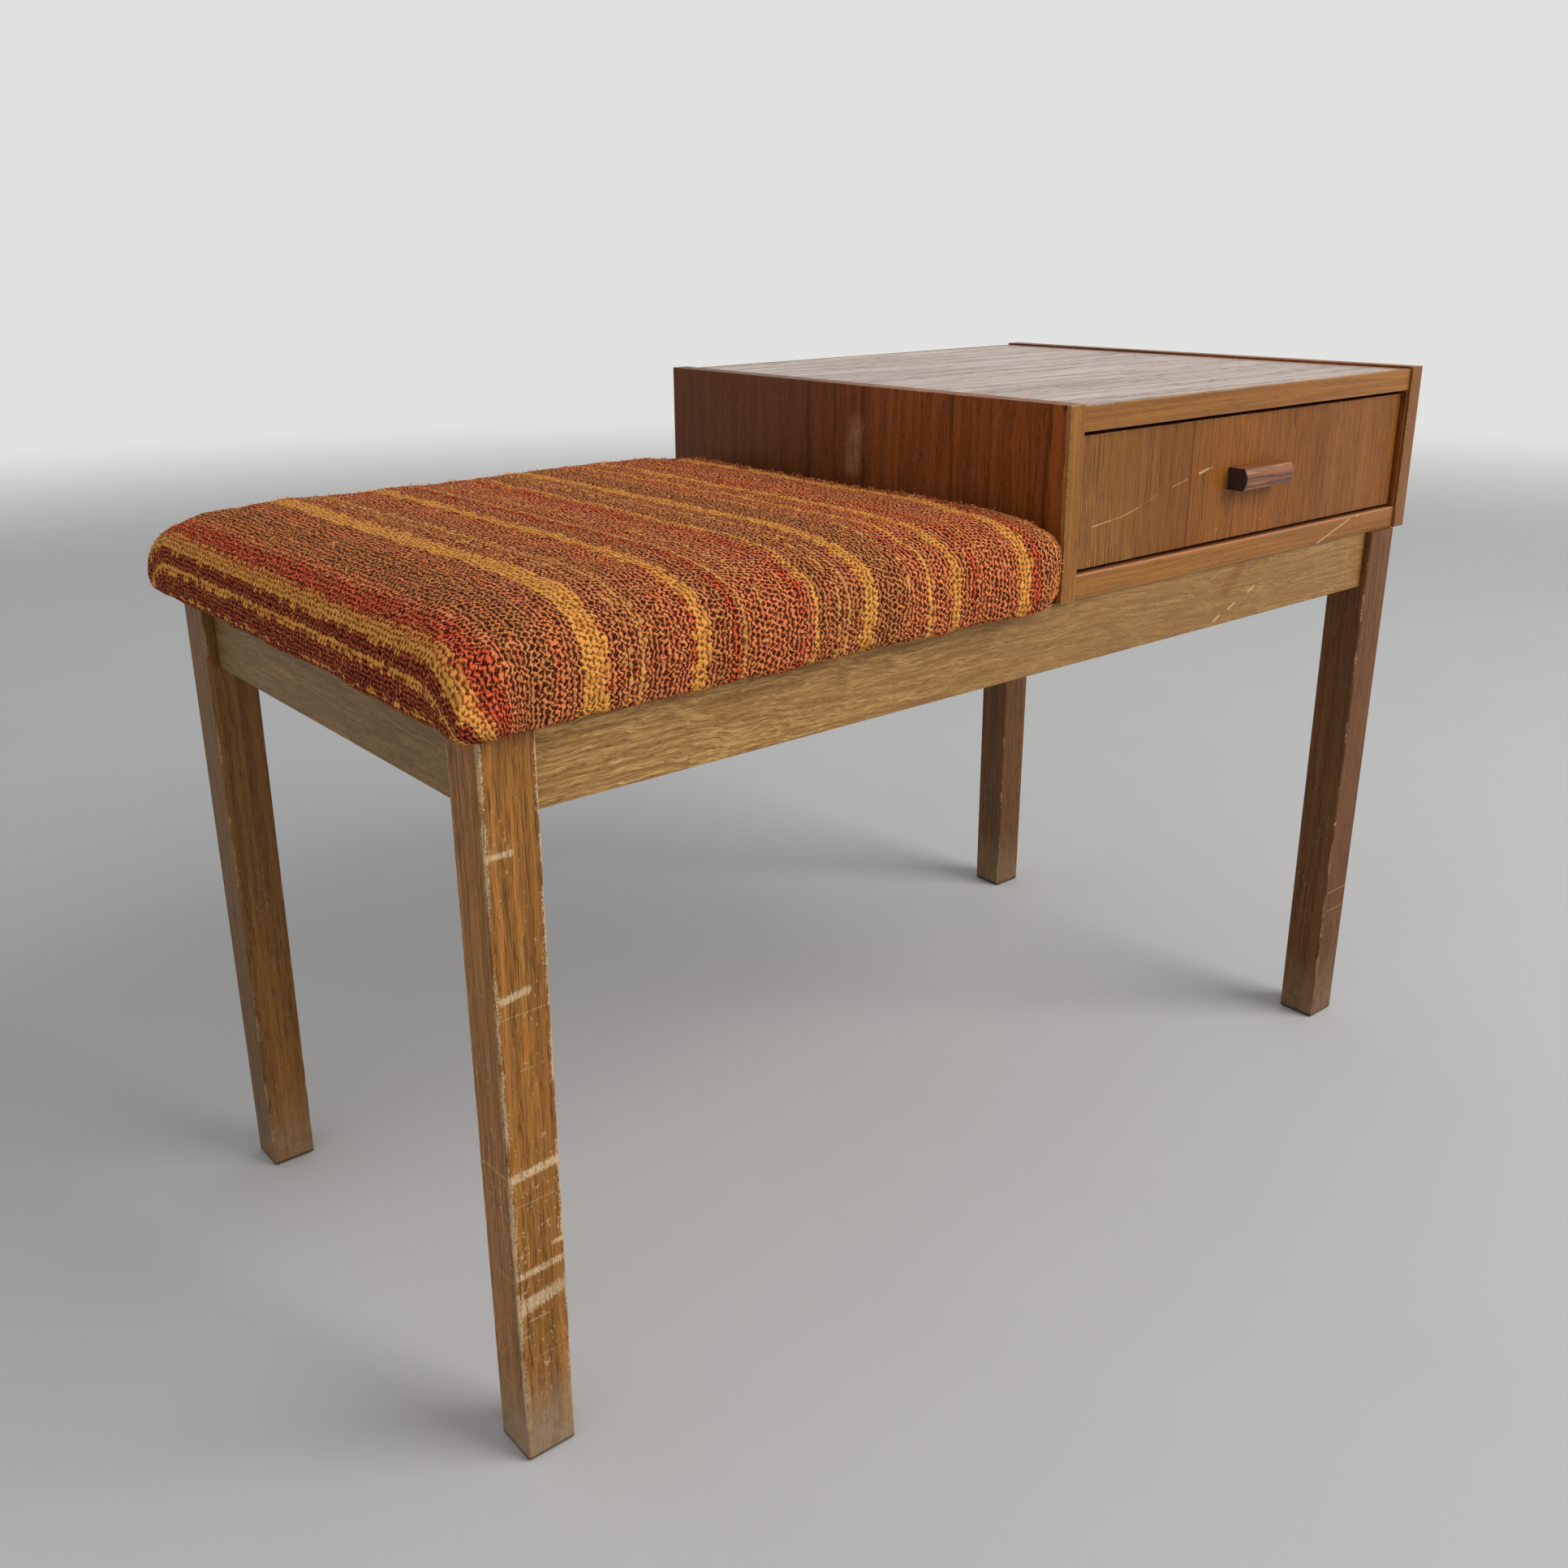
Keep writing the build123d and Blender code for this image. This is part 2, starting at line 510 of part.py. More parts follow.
def staple(x, y, along):
    """A wire staple under the board; along is the direction of its crown."""
    dx, dy = along
    crown = slab(x - dx * STAPLE_CROWN / 2 - dy * STAPLE_THICKNESS / 2,
                 x + dx * STAPLE_CROWN / 2 + dy * STAPLE_THICKNESS / 2,
                 y - dy * STAPLE_CROWN / 2 - dx * STAPLE_THICKNESS / 2,
                 y + dy * STAPLE_CROWN / 2 + dx * STAPLE_THICKNESS / 2,
                 FRAME_TOP - STAPLE_THICKNESS, FRAME_TOP)
    reach = (STAPLE_CROWN - STAPLE_THICKNESS) / 2
    for sign in (-1, 1):
        foot = Pos(x + sign * dx * reach, y + sign * dy * reach, FRAME_TOP + STAPLE_LEG / 2)
        crown += foot * Box(STAPLE_THICKNESS, STAPLE_THICKNESS, STAPLE_LEG)
    return crown


def cover_staples():
    """Staples along the turned-in cover, between the glue blocks."""
    past = COVER_PAST_RAIL - STAPLE_EDGE
    left, right = -END_RAIL_IN + past, MIDDLE_RAIL_LEFT - past
    half = LONG_RAIL_IN - past
    clear_x = BLOCK_SIDE + STAPLE_CROWN
    xs = spread(-END_RAIL_IN + clear_x, MIDDLE_RAIL_LEFT - clear_x, STAPLES_PER_SIDE)
    ys = spread(-LONG_RAIL_IN + clear_x, LONG_RAIL_IN - clear_x, STAPLES_PER_SIDE)
    rows = [staple(x, y, (1, 0)) for y in (-half, half) for x in xs]
    return rows + [staple(x, y, (0, 1)) for x in (left, right) for y in ys]


# ---- cabinet ----
def cabinet_dowel_places():
    """Dowels from each side panel into the top and bottom boards."""
    places = []
    levels = (FRAME_TOP + BOARD_THICKNESS / 2, TOP_TOP - BOARD_THICKNESS / 2)
    ys = spread(BOARD_FRONT + CABINET_DOWEL_INSET, BOARD_BACK - CABINET_DOWEL_INSET, DOWELS_PER_EDGE)
    for x, direction in ((INNER_LEFT, (1, 0, 0)), (INNER_RIGHT, (-1, 0, 0))):
        for z in levels:
            for y in ys:
                places.append(((x, y, z), direction, CABINET_DOWEL_IN_PANEL, CABINET_DOWEL_IN_BOARD))
    return places


def cabinet_dowels():
    return [dowel(*place, CABINET_DOWEL_DIAMETER) for place in cabinet_dowel_places()]


def cabinet_dowel_holes():
    return [dowel(*place, CABINET_DOWEL_DIAMETER, DOWEL_GLUE_GAP) for place in cabinet_dowel_places()]


def back_nail_places():
    """Head faces of the nails that hold the back panel to the boards."""
    levels = (FRAME_TOP + BOARD_THICKNESS / 2, TOP_TOP - BOARD_THICKNESS / 2)
    xs = spread(INNER_LEFT + BOARD_THICKNESS, INNER_RIGHT - BOARD_THICKNESS, BACK_NAILS_PER_EDGE)
    return [((x, CABINET_BACK, z), (0, -1, 0), BACK_NAIL_LENGTH) for z in levels for x in xs]


def back_nails():
    return [nail(*place) for place in back_nail_places()]


def back_nail_holes():
    return [hole for place in back_nail_places() for hole in nail_holes(*place)]


def side_panel(outer, inner):
    """A side panel from its outer face to its inner face, behind its lipping."""
    toward = 1 if inner > outer else -1
    body = slab(outer, inner, CABINET_FRONT + LIPPING_THICKNESS, CABINET_BACK, FRAME_TOP, CABINET_TOP)
    face = body.faces().sort_by(Axis.X)[-1 if toward < 0 else 0]
    body = eased(body, face.edges().filter_by(Axis.Y), CABINET_ARRIS)
    rebate = slab(inner - toward * BACK_REBATE_WIDTH, inner + toward, BOARD_BACK, CABINET_BACK + CUT,
                  FRAME_TOP, TOP_TOP)
    return body - rebate - cabinet_dowel_holes() - runner_screw_holes(toward)


def panel_lipping(outer, inner):
    """Solid strip along the front edge of a side panel."""
    body = slab(outer, inner, CABINET_FRONT, CABINET_FRONT + LIPPING_THICKNESS, FRAME_TOP, CABINET_TOP)
    front = body.faces().sort_by(Axis.Y)[0].edges()
    return eased(body, front, CABINET_ARRIS)


def board(z0, z1):
    """The top or bottom board, behind its lipping."""
    return slab(INNER_LEFT, INNER_RIGHT, BOARD_FRONT + LIPPING_THICKNESS, BOARD_BACK, z0, z1)


def board_lipping(z0, z1):
    body = slab(INNER_LEFT, INNER_RIGHT, BOARD_FRONT, BOARD_FRONT + LIPPING_THICKNESS, z0, z1)
    front = body.faces().sort_by(Axis.Y)[0].edges().filter_by(Axis.X)
    return eased(body, front, CABINET_ARRIS)


def cabinet_top():
    return board(TOP_BOTTOM, TOP_TOP) - cabinet_dowel_holes() - back_nail_holes()


def cabinet_floor():
    body = board(FRAME_TOP, FLOOR_TOP)
    return body - cabinet_dowel_holes() - back_nail_holes() - upright_screw_holes("cabinet")


def cabinet_back():
    """Hardboard back, let into the side panels and nailed to the boards."""
    body = slab(INNER_LEFT - BACK_REBATE_WIDTH, INNER_RIGHT + BACK_REBATE_WIDTH,
                BOARD_BACK, CABINET_BACK, FRAME_TOP, TOP_TOP)
    return body - back_nail_holes()


# ---- drawer runners ----
def runner(toward):
    """Hardwood runner on a side panel; toward is the direction into the cabinet."""
    wall = INNER_LEFT if toward > 0 else INNER_RIGHT
    half = RUNNER_HEIGHT / 2
    body = slab(wall, wall + toward * RUNNER_WIDTH, RUNNER_START, DRAWER_END,
                RUNNER_MIDDLE - half, RUNNER_MIDDLE + half)
    face = body.faces().sort_by(Axis.X)[-1 if toward > 0 else 0]
    body = eased(body, face.edges().filter_by(Axis.Y), CABINET_ARRIS)
    return body - runner_screw_holes(toward)


def runner_screw_places(toward):
    wall = INNER_LEFT if toward > 0 else INNER_RIGHT
    seat_x = wall + toward * (RUNNER_WIDTH - RUNNER_SCREW_HEAD_HEIGHT - SCREW_GAP)
    ys = spread(RUNNER_START + RUNNER_SCREW_INSET, DRAWER_END - RUNNER_SCREW_INSET, RUNNER_SCREWS)
    length = abs(seat_x - wall) + RUNNER_SCREW_BITE
    return [((seat_x, y, RUNNER_MIDDLE), (-toward, 0, 0), length) for y in ys]


def runner_screws():
    sizes = (RUNNER_SCREW_DIAMETER, RUNNER_SCREW_HEAD_DIAMETER, RUNNER_SCREW_HEAD_HEIGHT)
    return [screw(*place, *sizes) for toward in (1, -1) for place in runner_screw_places(toward)]


def runner_screw_holes(toward):
    holes = []
    for seat, direction, length in runner_screw_places(toward):
        holes += screw_hole(seat, direction, length, RUNNER_SCREW_DIAMETER, RUNNER_SCREW_HEAD_DIAMETER,
                            length - RUNNER_SCREW_BITE, RUNNER_WIDTH)
    return holes


# ---- drawer ----
def drawer_nail_places():
    """Nails from the drawer's sides into its front and its back."""
    places = []
    lap_y = DRAWER_LAP_FACE + DRAWER_LAP / 2
    back_y = DRAWER_END - DRAWER_BACK_THICKNESS / 2
    for x, direction in ((DRAWER_LEFT, (1, 0, 0)), (DRAWER_RIGHT, (-1, 0, 0))):
        for y in (lap_y, back_y):
            for z in (BOTTOM_HIGH + DRAWER_NAIL_INSET, DRAWER_BACK_HIGH - DRAWER_NAIL_INSET):
                places.append(((x, y, z), direction, DRAWER_NAIL_LENGTH))
    return places


def drawer_nails():
    return [nail(*place) for place in drawer_nail_places()]


def drawer_nail_holes():
    return [hole for place in drawer_nail_places() for hole in nail_holes(*place)]


def bottom_groove(x0, x1, y0, y1):
    """Room for the drawer's bottom, with a little play."""
    return slab(x0, x1, y0, y1, BOTTOM_LOW - DRAWER_GROOVE_GAP, BOTTOM_HIGH + DRAWER_GROOVE_GAP)


def drawer_front():
    """Veneered front, rebated at both ends for the sides."""
    body = slab(DRAWER_LEFT, DRAWER_RIGHT, DRAWER_FACE, DRAWER_FRONT_INSIDE, DRAWER_LOW, DRAWER_HIGH)
    body = eased(body, body.faces().sort_by(Axis.Y)[0].edges(), CABINET_ARRIS)
    side = DRAWER_SIDE_THICKNESS
    for x0, x1 in ((DRAWER_LEFT - CUT, DRAWER_LEFT + side), (DRAWER_RIGHT - side, DRAWER_RIGHT + CUT)):
        body -= slab(x0, x1, DRAWER_LAP_FACE, DRAWER_FRONT_INSIDE + CUT, DRAWER_LOW - CUT, SIDE_HIGH)
    body -= bottom_groove(DRAWER_LEFT + side, DRAWER_RIGHT - side,
                          DRAWER_FRONT_INSIDE - DRAWER_BOTTOM_GROOVE, DRAWER_FRONT_INSIDE)
    return body - handle_screw_holes() - drawer_nail_holes()


def drawer_side(outer, toward):
    """A side with the groove that runs on the runner and the groove for the bottom."""
    inner = outer + toward * DRAWER_SIDE_THICKNESS
    body = slab(outer, inner, DRAWER_LAP_FACE, DRAWER_END, DRAWER_LOW, SIDE_HIGH)
    body = eased(body, body.faces().sort_by(Axis.Z)[-1].edges().filter_by(Axis.Y), CABINET_ARRIS)
    half = RUNNER_HEIGHT / 2 + RUNNER_PLAY
    groove = slab(outer - toward * CUT, outer + toward * (RUNNER_REACH + RUNNER_PLAY),
                  GROOVE_START, DRAWER_END + CUT, RUNNER_MIDDLE - half, RUNNER_MIDDLE + half)
    floor_groove = bottom_groove(inner - toward * DRAWER_BOTTOM_GROOVE, inner, DRAWER_LAP_FACE, DRAWER_END)
    return body - groove - floor_groove - drawer_nail_holes()


def drawer_back():
    """Back between the sides, standing on the drawer's bottom."""
    side = DRAWER_SIDE_THICKNESS
    body = slab(DRAWER_LEFT + side, DRAWER_RIGHT - side, DRAWER_END - DRAWER_BACK_THICKNESS, DRAWER_END,
                BOTTOM_HIGH, DRAWER_BACK_HIGH)
    body = eased(body, body.faces().sort_by(Axis.Z)[-1].edges().filter_by(Axis.X), CABINET_ARRIS)
    return body - drawer_nail_holes()


def drawer_bottom():
    """Thin sheet in the grooves of front and sides, under the back."""
    reach = DRAWER_SIDE_THICKNESS - DRAWER_BOTTOM_GROOVE + DRAWER_GROOVE_GAP
    front = DRAWER_FRONT_INSIDE - DRAWER_BOTTOM_GROOVE + DRAWER_GROOVE_GAP
    body = slab(DRAWER_LEFT + reach, DRAWER_RIGHT - reach, front, DRAWER_END, BOTTOM_LOW, BOTTOM_HIGH)
    side = DRAWER_SIDE_THICKNESS
    for x0, x1 in ((DRAWER_LEFT, DRAWER_LEFT + side), (DRAWER_RIGHT - side, DRAWER_RIGHT)):
        body -= slab(x0, x1, front - CUT, DRAWER_FRONT_INSIDE, BOTTOM_LOW - CUT, BOTTOM_HIGH + CUT)
    return body


def handle():
    """Solid bar handle: flat back, top and bottom, and a rounded nose."""
    low, high = HANDLE_Z - HANDLE_HEIGHT / 2, HANDLE_Z + HANDLE_HEIGHT / 2
    nose = DRAWER_FACE - HANDLE_DEPTH
    shoulder = nose + HANDLE_NOSE
    x0 = HANDLE_X - HANDLE_LENGTH / 2
    points = [(x0, DRAWER_FACE, low), (x0, shoulder, low), (x0, nose, HANDLE_Z),
              (x0, shoulder, high), (x0, DRAWER_FACE, high)]
    wire = Wire([Line(points[0], points[1]), ThreePointArc(*points[1:4]),
                 Line(points[3], points[4]), Line(points[4], points[0])])
    body = extrude(make_face(wire), HANDLE_LENGTH, dir=(1, 0, 0))
    soft = [e for e in body.edges() if e.bounding_box().max.Y < DRAWER_FACE - HANDLE_DEPTH / 2]
    body = fillet(soft, HANDLE_ARRIS)
    return body - handle_screw_holes()


def handle_screw_places():
    inside = DRAWER_FRONT_INSIDE - SCREW_HEAD_HEIGHT - SCREW_GAP
    length = inside - DRAWER_FACE + HANDLE_SCREW_BITE
    half = HANDLE_SCREW_SPACING / 2
    return [((HANDLE_X + side * half, inside, HANDLE_Z), (0, -1, 0), length) for side in (-1, 1)]


def handle_screws():
    return [wood_screw(*place) for place in handle_screw_places()]


def handle_screw_holes():
    clear = DRAWER_FRONT_THICKNESS - SCREW_HEAD_HEIGHT - SCREW_GAP
    return [hole for place in handle_screw_places() for hole in wood_screw_hole(*place, clear)]


# ---- the whole bench ----
def bench():
    """Every node's name with its solid or solids."""
    return {
        "leg_front_left": leg(-1, -1),
        "leg_front_right": leg(1, -1),
        "leg_back_left": leg(-1, 1),
        "leg_back_right": leg(1, 1),
        "front_rail": long_rail(-1),
        "back_rail": long_rail(1),
        "seat_end_rail": end_rail(-1),
        "cabinet_end_rail": end_rail(1),
        "middle_rail": middle_rail(),
        "frame_dowels": frame_dowels(),
        "glue_blocks": glue_blocks(),
        "block_screws": block_screws(),
        "seat_screws": upright_screws("seat"),
        "cabinet_screws": upright_screws("cabinet"),
        "seat_board": seat_board(),
        "seat_foam": seat_foam(),
        "seat_cover": seat_cover(),
        "cover_staples": cover_staples(),
        "cabinet_left_panel": side_panel(CABINET_LEFT, INNER_LEFT),
        "cabinet_right_panel": side_panel(CABINET_RIGHT, INNER_RIGHT),
        "left_panel_lipping": panel_lipping(CABINET_LEFT, INNER_LEFT),
        "right_panel_lipping": panel_lipping(CABINET_RIGHT, INNER_RIGHT),
        "cabinet_top": cabinet_top(),
        "cabinet_floor": cabinet_floor(),
        "top_lipping": board_lipping(TOP_BOTTOM, TOP_TOP),
        "floor_lipping": board_lipping(FRAME_TOP, FLOOR_TOP),
        "cabinet_back": cabinet_back(),
        "back_nails": back_nails(),
        "cabinet_dowels": cabinet_dowels(),
        "runner_left": runner(1),
        "runner_right": runner(-1),
        "runner_screws": runner_screws(),
        "drawer_front": drawer_front(),
        "drawer_side_left": drawer_side(DRAWER_LEFT, 1),
        "drawer_side_right": drawer_side(DRAWER_RIGHT, -1),
        "drawer_back": drawer_back(),
        "drawer_bottom": drawer_bottom(),
        "drawer_nails": drawer_nails(),
        "drawer_handle": handle(),
        "handle_screws": handle_screws(),
    }


def main():
    os.makedirs("parts", exist_ok=True)
    home = Location((-ORIGIN_X, -ORIGIN_Y, 0))
    for name, shape in bench().items():
        solids = shape if isinstance(shape, list) else [shape]
        solids = [solid for item in solids for solid in item.solids()]
        placed = [solid.moved(home) for solid in solids]
        export_step(placed[0] if len(placed) == 1 else Compound(children=placed), f"parts/{name}.step")


main()
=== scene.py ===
import math

import bmesh
import bpy
import numpy as np
from bpy.props import FloatProperty, FloatVectorProperty, IntProperty, PointerProperty
from mathutils import Matrix, Vector, noise


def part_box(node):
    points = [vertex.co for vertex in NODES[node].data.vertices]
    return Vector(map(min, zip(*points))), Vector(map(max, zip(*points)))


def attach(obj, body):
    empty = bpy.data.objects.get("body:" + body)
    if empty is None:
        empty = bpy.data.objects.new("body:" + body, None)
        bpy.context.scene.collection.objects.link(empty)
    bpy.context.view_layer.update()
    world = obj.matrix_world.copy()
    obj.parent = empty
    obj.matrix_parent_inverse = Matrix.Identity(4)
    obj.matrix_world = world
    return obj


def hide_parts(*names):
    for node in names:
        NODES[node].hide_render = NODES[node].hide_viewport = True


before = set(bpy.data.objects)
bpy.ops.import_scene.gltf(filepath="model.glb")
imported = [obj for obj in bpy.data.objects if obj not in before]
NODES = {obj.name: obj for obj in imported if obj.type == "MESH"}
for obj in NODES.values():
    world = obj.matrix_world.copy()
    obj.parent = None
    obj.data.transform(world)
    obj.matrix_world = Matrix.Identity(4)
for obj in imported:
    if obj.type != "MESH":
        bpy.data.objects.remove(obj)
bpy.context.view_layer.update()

bl_info = {
    "name": "Telephone bench",
    "version": (1, 0, 0),
    "blender": (4, 5, 0),
    "location": "View3D > Sidebar > Bench",
    "description": "Oak stand, woven seat pad and veneered cabinet with one drawer",
    "category": "Object",
}

MM = 0.001


def tone(red, green, blue):
    """A colour as a shade card gives it, turned into the light values that a shader takes."""
    values = (red / 255, green / 255, blue / 255)
    return tuple(v / 12.92 if v <= 0.04045 else ((v + 0.055) / 1.055) ** 2.4 for v in values)


def opaque(colour):
    return (*colour[:3], 1.0)


def box_mm(name):
    low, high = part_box(name)
    return [v / MM for v in low], [v / MM for v in high]


def shade(label, use, colour):
    return FloatVectorProperty(name=label, description=use, default=tone(*colour), size=3,
                               subtype="COLOR", min=0.0, max=1.0)


def length(label, use, size, least, most):
    """A length that a user may change, given in millimetres."""
    return FloatProperty(name=label, description=use, default=size * MM, unit="LENGTH",
                         min=least * MM, max=most * MM)


# ---- sizes and colours that a user may change ----
class BenchWoods(bpy.types.PropertyGroup):
    """Wood colours of the stand, the cabinet and the drawer."""
    leg_light: shade("Leg light", "Light wood of the legs", (200, 134, 60))
    leg_dark: shade("Leg dark", "Dark lines of the legs", (130, 84, 34))
    leg_pore: shade("Leg pores", "Stained pores of the legs", (58, 32, 14))
    rail_light: shade("Rail light", "Light wood of the rails", (218, 174, 108))
    rail_dark: shade("Rail dark", "Dark figure of the rails", (148, 106, 56))
    rail_pore: shade("Rail pores", "Stained pores of the rails", (92, 60, 30))
    bare: shade("Bare wood", "Wood where the lacquer has rubbed off", (208, 170, 122))
    scuff: shade("Scuff", "Raw wood in the scuffs of a leg", (226, 194, 150))
    foot: shade("Foot", "Grey soiled foot of a leg", (158, 134, 106))
    # painted shade: the dark line where a leg meets the floor stands for the contact shadow there
    contact_shade: shade("Foot line", "Dark line where a leg meets the floor", (48, 38, 30))
    veneer_light: shade("Veneer light", "Light wood of the veneer", (150, 96, 50))
    veneer_dark: shade("Veneer dark", "Dark lines of the veneer", (104, 58, 26))
    veneer_pore: shade("Veneer pores", "Dark pores of the veneer", (50, 26, 12))
    lipping_light: shade("Lipping light", "Light wood of the lippings", (172, 113, 44))
    lipping_dark: shade("Lipping dark", "Dark lines of the lippings", (128, 78, 30))
    handle_light: shade("Handle light", "Light wood of the handle", (196, 116, 58))
    handle_dark: shade("Handle dark", "Dark wood of the handle", (88, 44, 18))
    beech_light: shade("Beech light", "Light wood of the inner parts", (206, 172, 126))
    beech_dark: shade("Beech dark", "Darker lines of the inner parts", (176, 138, 94))
    board_light: shade("Board light", "Light flakes of the seat board", (190, 160, 118))
    board_dark: shade("Board dark", "Dark flakes of the seat board", (128, 98, 64))
    hardboard: shade("Hardboard", "Brown sheet of the back and the drawer bottom", (122, 84, 52))
    steel: shade("Steel", "Screws, nails and staples", (168, 166, 160))


class BenchYarns(bpy.types.PropertyGroup):
    """Colours and sizes of the woven cover."""
    gold: shade("Gold", "Bright gold yarn", (255, 172, 76))
    amber: shade("Amber", "Duller gold yarn", (255, 154, 64))
    straw: shade("Straw", "Thin pale yarn", (238, 160, 84))
    rust: shade("Rust", "Orange-brown yarn", (248, 120, 64))
    red: shade("Red", "Brick red yarn", (234, 78, 42))
    maroon: shade("Maroon", "Dark red yarn", (164, 52, 28))
    brown: shade("Brown", "Brown yarn", (218, 112, 58))
    olive: shade("Olive", "Green-brown yarn", (204, 114, 52))
    # painted highlight: peach is laid on the crests of the yarns where light would fall; loose
    # fibres take it as their paler tone
    peach: shade("Peach", "Light on the crest of a yarn", (255, 190, 128))
    # painted shade: gap is the dark colour laid between the knots and under the crossing weft
    gap: shade("Gap", "Shade between the knots", (42, 12, 8))
    pitch: length("Yarn pitch", "Distance between two yarns", 3.2, 1.0, 10.0)
    knot: length("Knot pitch", "Distance between two knots of a yarn", 3.7, 1.0, 10.0)


class BenchPad(bpy.types.PropertyGroup):
    """How the seat pad is padded."""
    voxel: length("Cell", "Cell size of the simulated cover", 5.0, 3.0, 12.0)
    pressure: FloatProperty(name="Pressure", description="Push of the foam", default=4.0)
    swell: length("Swell", "Most that the cover may move", 1.8, 0.0, 30.0)
    steps: IntProperty(name="Steps", description="Simulated steps", default=20, min=2, max=60)
    fibres: IntProperty(name="Fibres", description="Number of loose fibres", default=2200, min=0)
    fibre: length("Fibre", "Longest loose fibre", 3.6, 1.0, 10.0)
    slack: length("Slack", "Unevenness of the cover", 0.8, 0.0, 3.0)


class BenchStage(bpy.types.PropertyGroup):
    """Camera, light and floor."""
    eye: FloatVectorProperty(name="Camera", description="Place of the camera", unit="LENGTH",
                             subtype="TRANSLATION", default=(-0.70275, -0.77686, 0.63314))
    turn: FloatVectorProperty(name="Turn", description="Yaw, pitch and roll", unit="ROTATION",
                              subtype="EULER", default=(0.6742, -0.3222, -0.0107))
    lens: FloatProperty(name="Lens", description="Focal length in millimetres", default=34.16)
    shift: FloatVectorProperty(name="Shift", description="Lens shift", size=2,
                               default=(0.0201, -0.0300))
    floor: shade("Floor", "Pale floor", (206, 204, 201))
    air: shade("Air", "Pale background", (226, 226, 224))
    reach: length("Floor radius", "Where the floor has faded out", 5000.0, 2500.0, 9000.0)
    ambient: FloatProperty(name="Ambient", description="Light from all round", default=0.45)
    key: FloatProperty(name="Key", description="Main lamp", default=100.0, unit="POWER")
    fill: FloatProperty(name="Fill", description="Second lamp", default=4.0, unit="POWER")


# ---- shader formulas ----
class Term:
    """One socket in a formula. Sums, products and comparisons of terms add their nodes."""

    def __init__(self, finish, socket):
        self.finish = finish
        self.socket = socket

    def __add__(self, other):
        return self.finish.maths("ADD", self, other)

    def __sub__(self, other):
        return self.finish.maths("SUBTRACT", self, other)

    def __rsub__(self, other):
        return self.finish.maths("SUBTRACT", other, self)

    def __mul__(self, other):
        return self.finish.maths("MULTIPLY", self, other)

    def __truediv__(self, other):
        return self.finish.maths("DIVIDE", self, other)

    def __pow__(self, other):
        return self.finish.maths("POWER", self, other)

    def __gt__(self, other):
        return self.finish.maths("GREATER_THAN", self, other)

    def __lt__(self, other):
        return self.finish.maths("LESS_THAN", self, other)

    def __abs__(self):
        return self.finish.maths("ABSOLUTE", self)

    __radd__ = __add__
    __rmul__ = __mul__


class Nodes:
    """A shader node tree under construction."""

    def __init__(self, tree):
        self.tree = tree
        tree.nodes.clear()

    def node(self, kind, settings=None, values=None, output=0):
        """A node of that kind: its settings first, then its sockets; returns one of its outputs."""
        node = self.tree.nodes.new(kind)
        for name, value in (settings or {}).items():
            if name == "stops":
                node.color_ramp.interpolation = value[0]
                stops = node.color_ramp.elements
                while len(stops) < len(value[1]):
                    stops.new(1.0)
                for stop, (place, colour) in zip(stops, value[1]):
                    stop.position = place
                    stop.color = opaque(colour)
            else:
                setattr(node, name, value)
        for key, value in (values or {}).items():
            if isinstance(value, Term):
                self.tree.links.new(value.socket, node.inputs[key])
            else:
                node.inputs[key].default_value = value
        return Term(self, node.outputs[output]) if node.outputs else None

    def maths(self, operation, *values):
        return self.node("ShaderNodeMath", {"operation": operation}, dict(enumerate(values)))

    def least(self, a, b):
        return self.maths("MINIMUM", a, b)

    def most(self, a, b):
        return self.maths("MAXIMUM", a, b)

    def floor(self, a):
        return self.maths("FLOOR", a)

    def clamped(self, value):
        return self.node("ShaderNodeClamp", {}, {0: value})

    def smooth(self, value, low, high):
        """0 at low and 1 at high, with a soft run between them."""
        values = {0: value, 1: low, 2: high, 3: 0.0, 4: 1.0}
        return self.node("ShaderNodeMapRange", {"interpolation_type": "SMOOTHSTEP"}, values)

    def vector(self, x, y, z):
        return self.node("ShaderNodeCombineXYZ", {}, {0: x, 1: y, 2: z})

    def parts(self, vector):
        """The three numbers of a vector."""
        node = self.node("ShaderNodeSeparateXYZ", {}, {0: vector}).socket.node
        return [Term(self, output) for output in node.outputs]

    def place(self):
        """The three Object coordinates in millimetres."""
        where = self.node("ShaderNodeTexCoord", {}, {}, "Object")
        settings = {"operation": "SCALE"}
        return self.parts(self.node("ShaderNodeVectorMath", settings, {0: where, "Scale": 1 / MM}))

    def noise(self, where, detail=2.0, rough=0.5, distortion=0.0, output=0):
        """Cloudy noise at a place of three numbers."""
        values = {"Vector": self.vector(*where), "Scale": 1.0, "Detail": detail,
                  "Roughness": rough, "Distortion": distortion}
        return self.node("ShaderNodeTexNoise", {"noise_dimensions": "3D"}, values, output)

    def two_noises(self, where, detail, rough):
        """Two noises that differ, at a place of three numbers."""
        return self.parts(self.noise(where, detail, rough, output=1))[:2]

    def chance(self, x, y, seed=0.0):
        """An even random number for each pair of whole numbers."""
        return self.node("ShaderNodeTexWhiteNoise", {"noise_dimensions": "3D"},
                         {"Vector": self.vector(x, y, seed)})

    def ramp(self, value, low, high, stops, interpolation="LINEAR"):
        """Colours that lie at places between low and high."""
        placed = [((place - low) / (high - low), colour) for place, colour in stops]
        return self.node("ShaderNodeValToRGB", {"stops": (interpolation, placed)},
                         {0: (value - low) / (high - low)})

    def mix(self, share, first, second):
        """A colour between two, at a share of the second."""
        settings = {"data_type": "RGBA", "blend_type": "MIX", "clamp_factor": True}
        colours = {6: first, 7: second}
        values = {k: v if isinstance(v, Term) else opaque(v) for k, v in colours.items()}
        return self.node("ShaderNodeMix", settings, {0: share, **values}, 2)


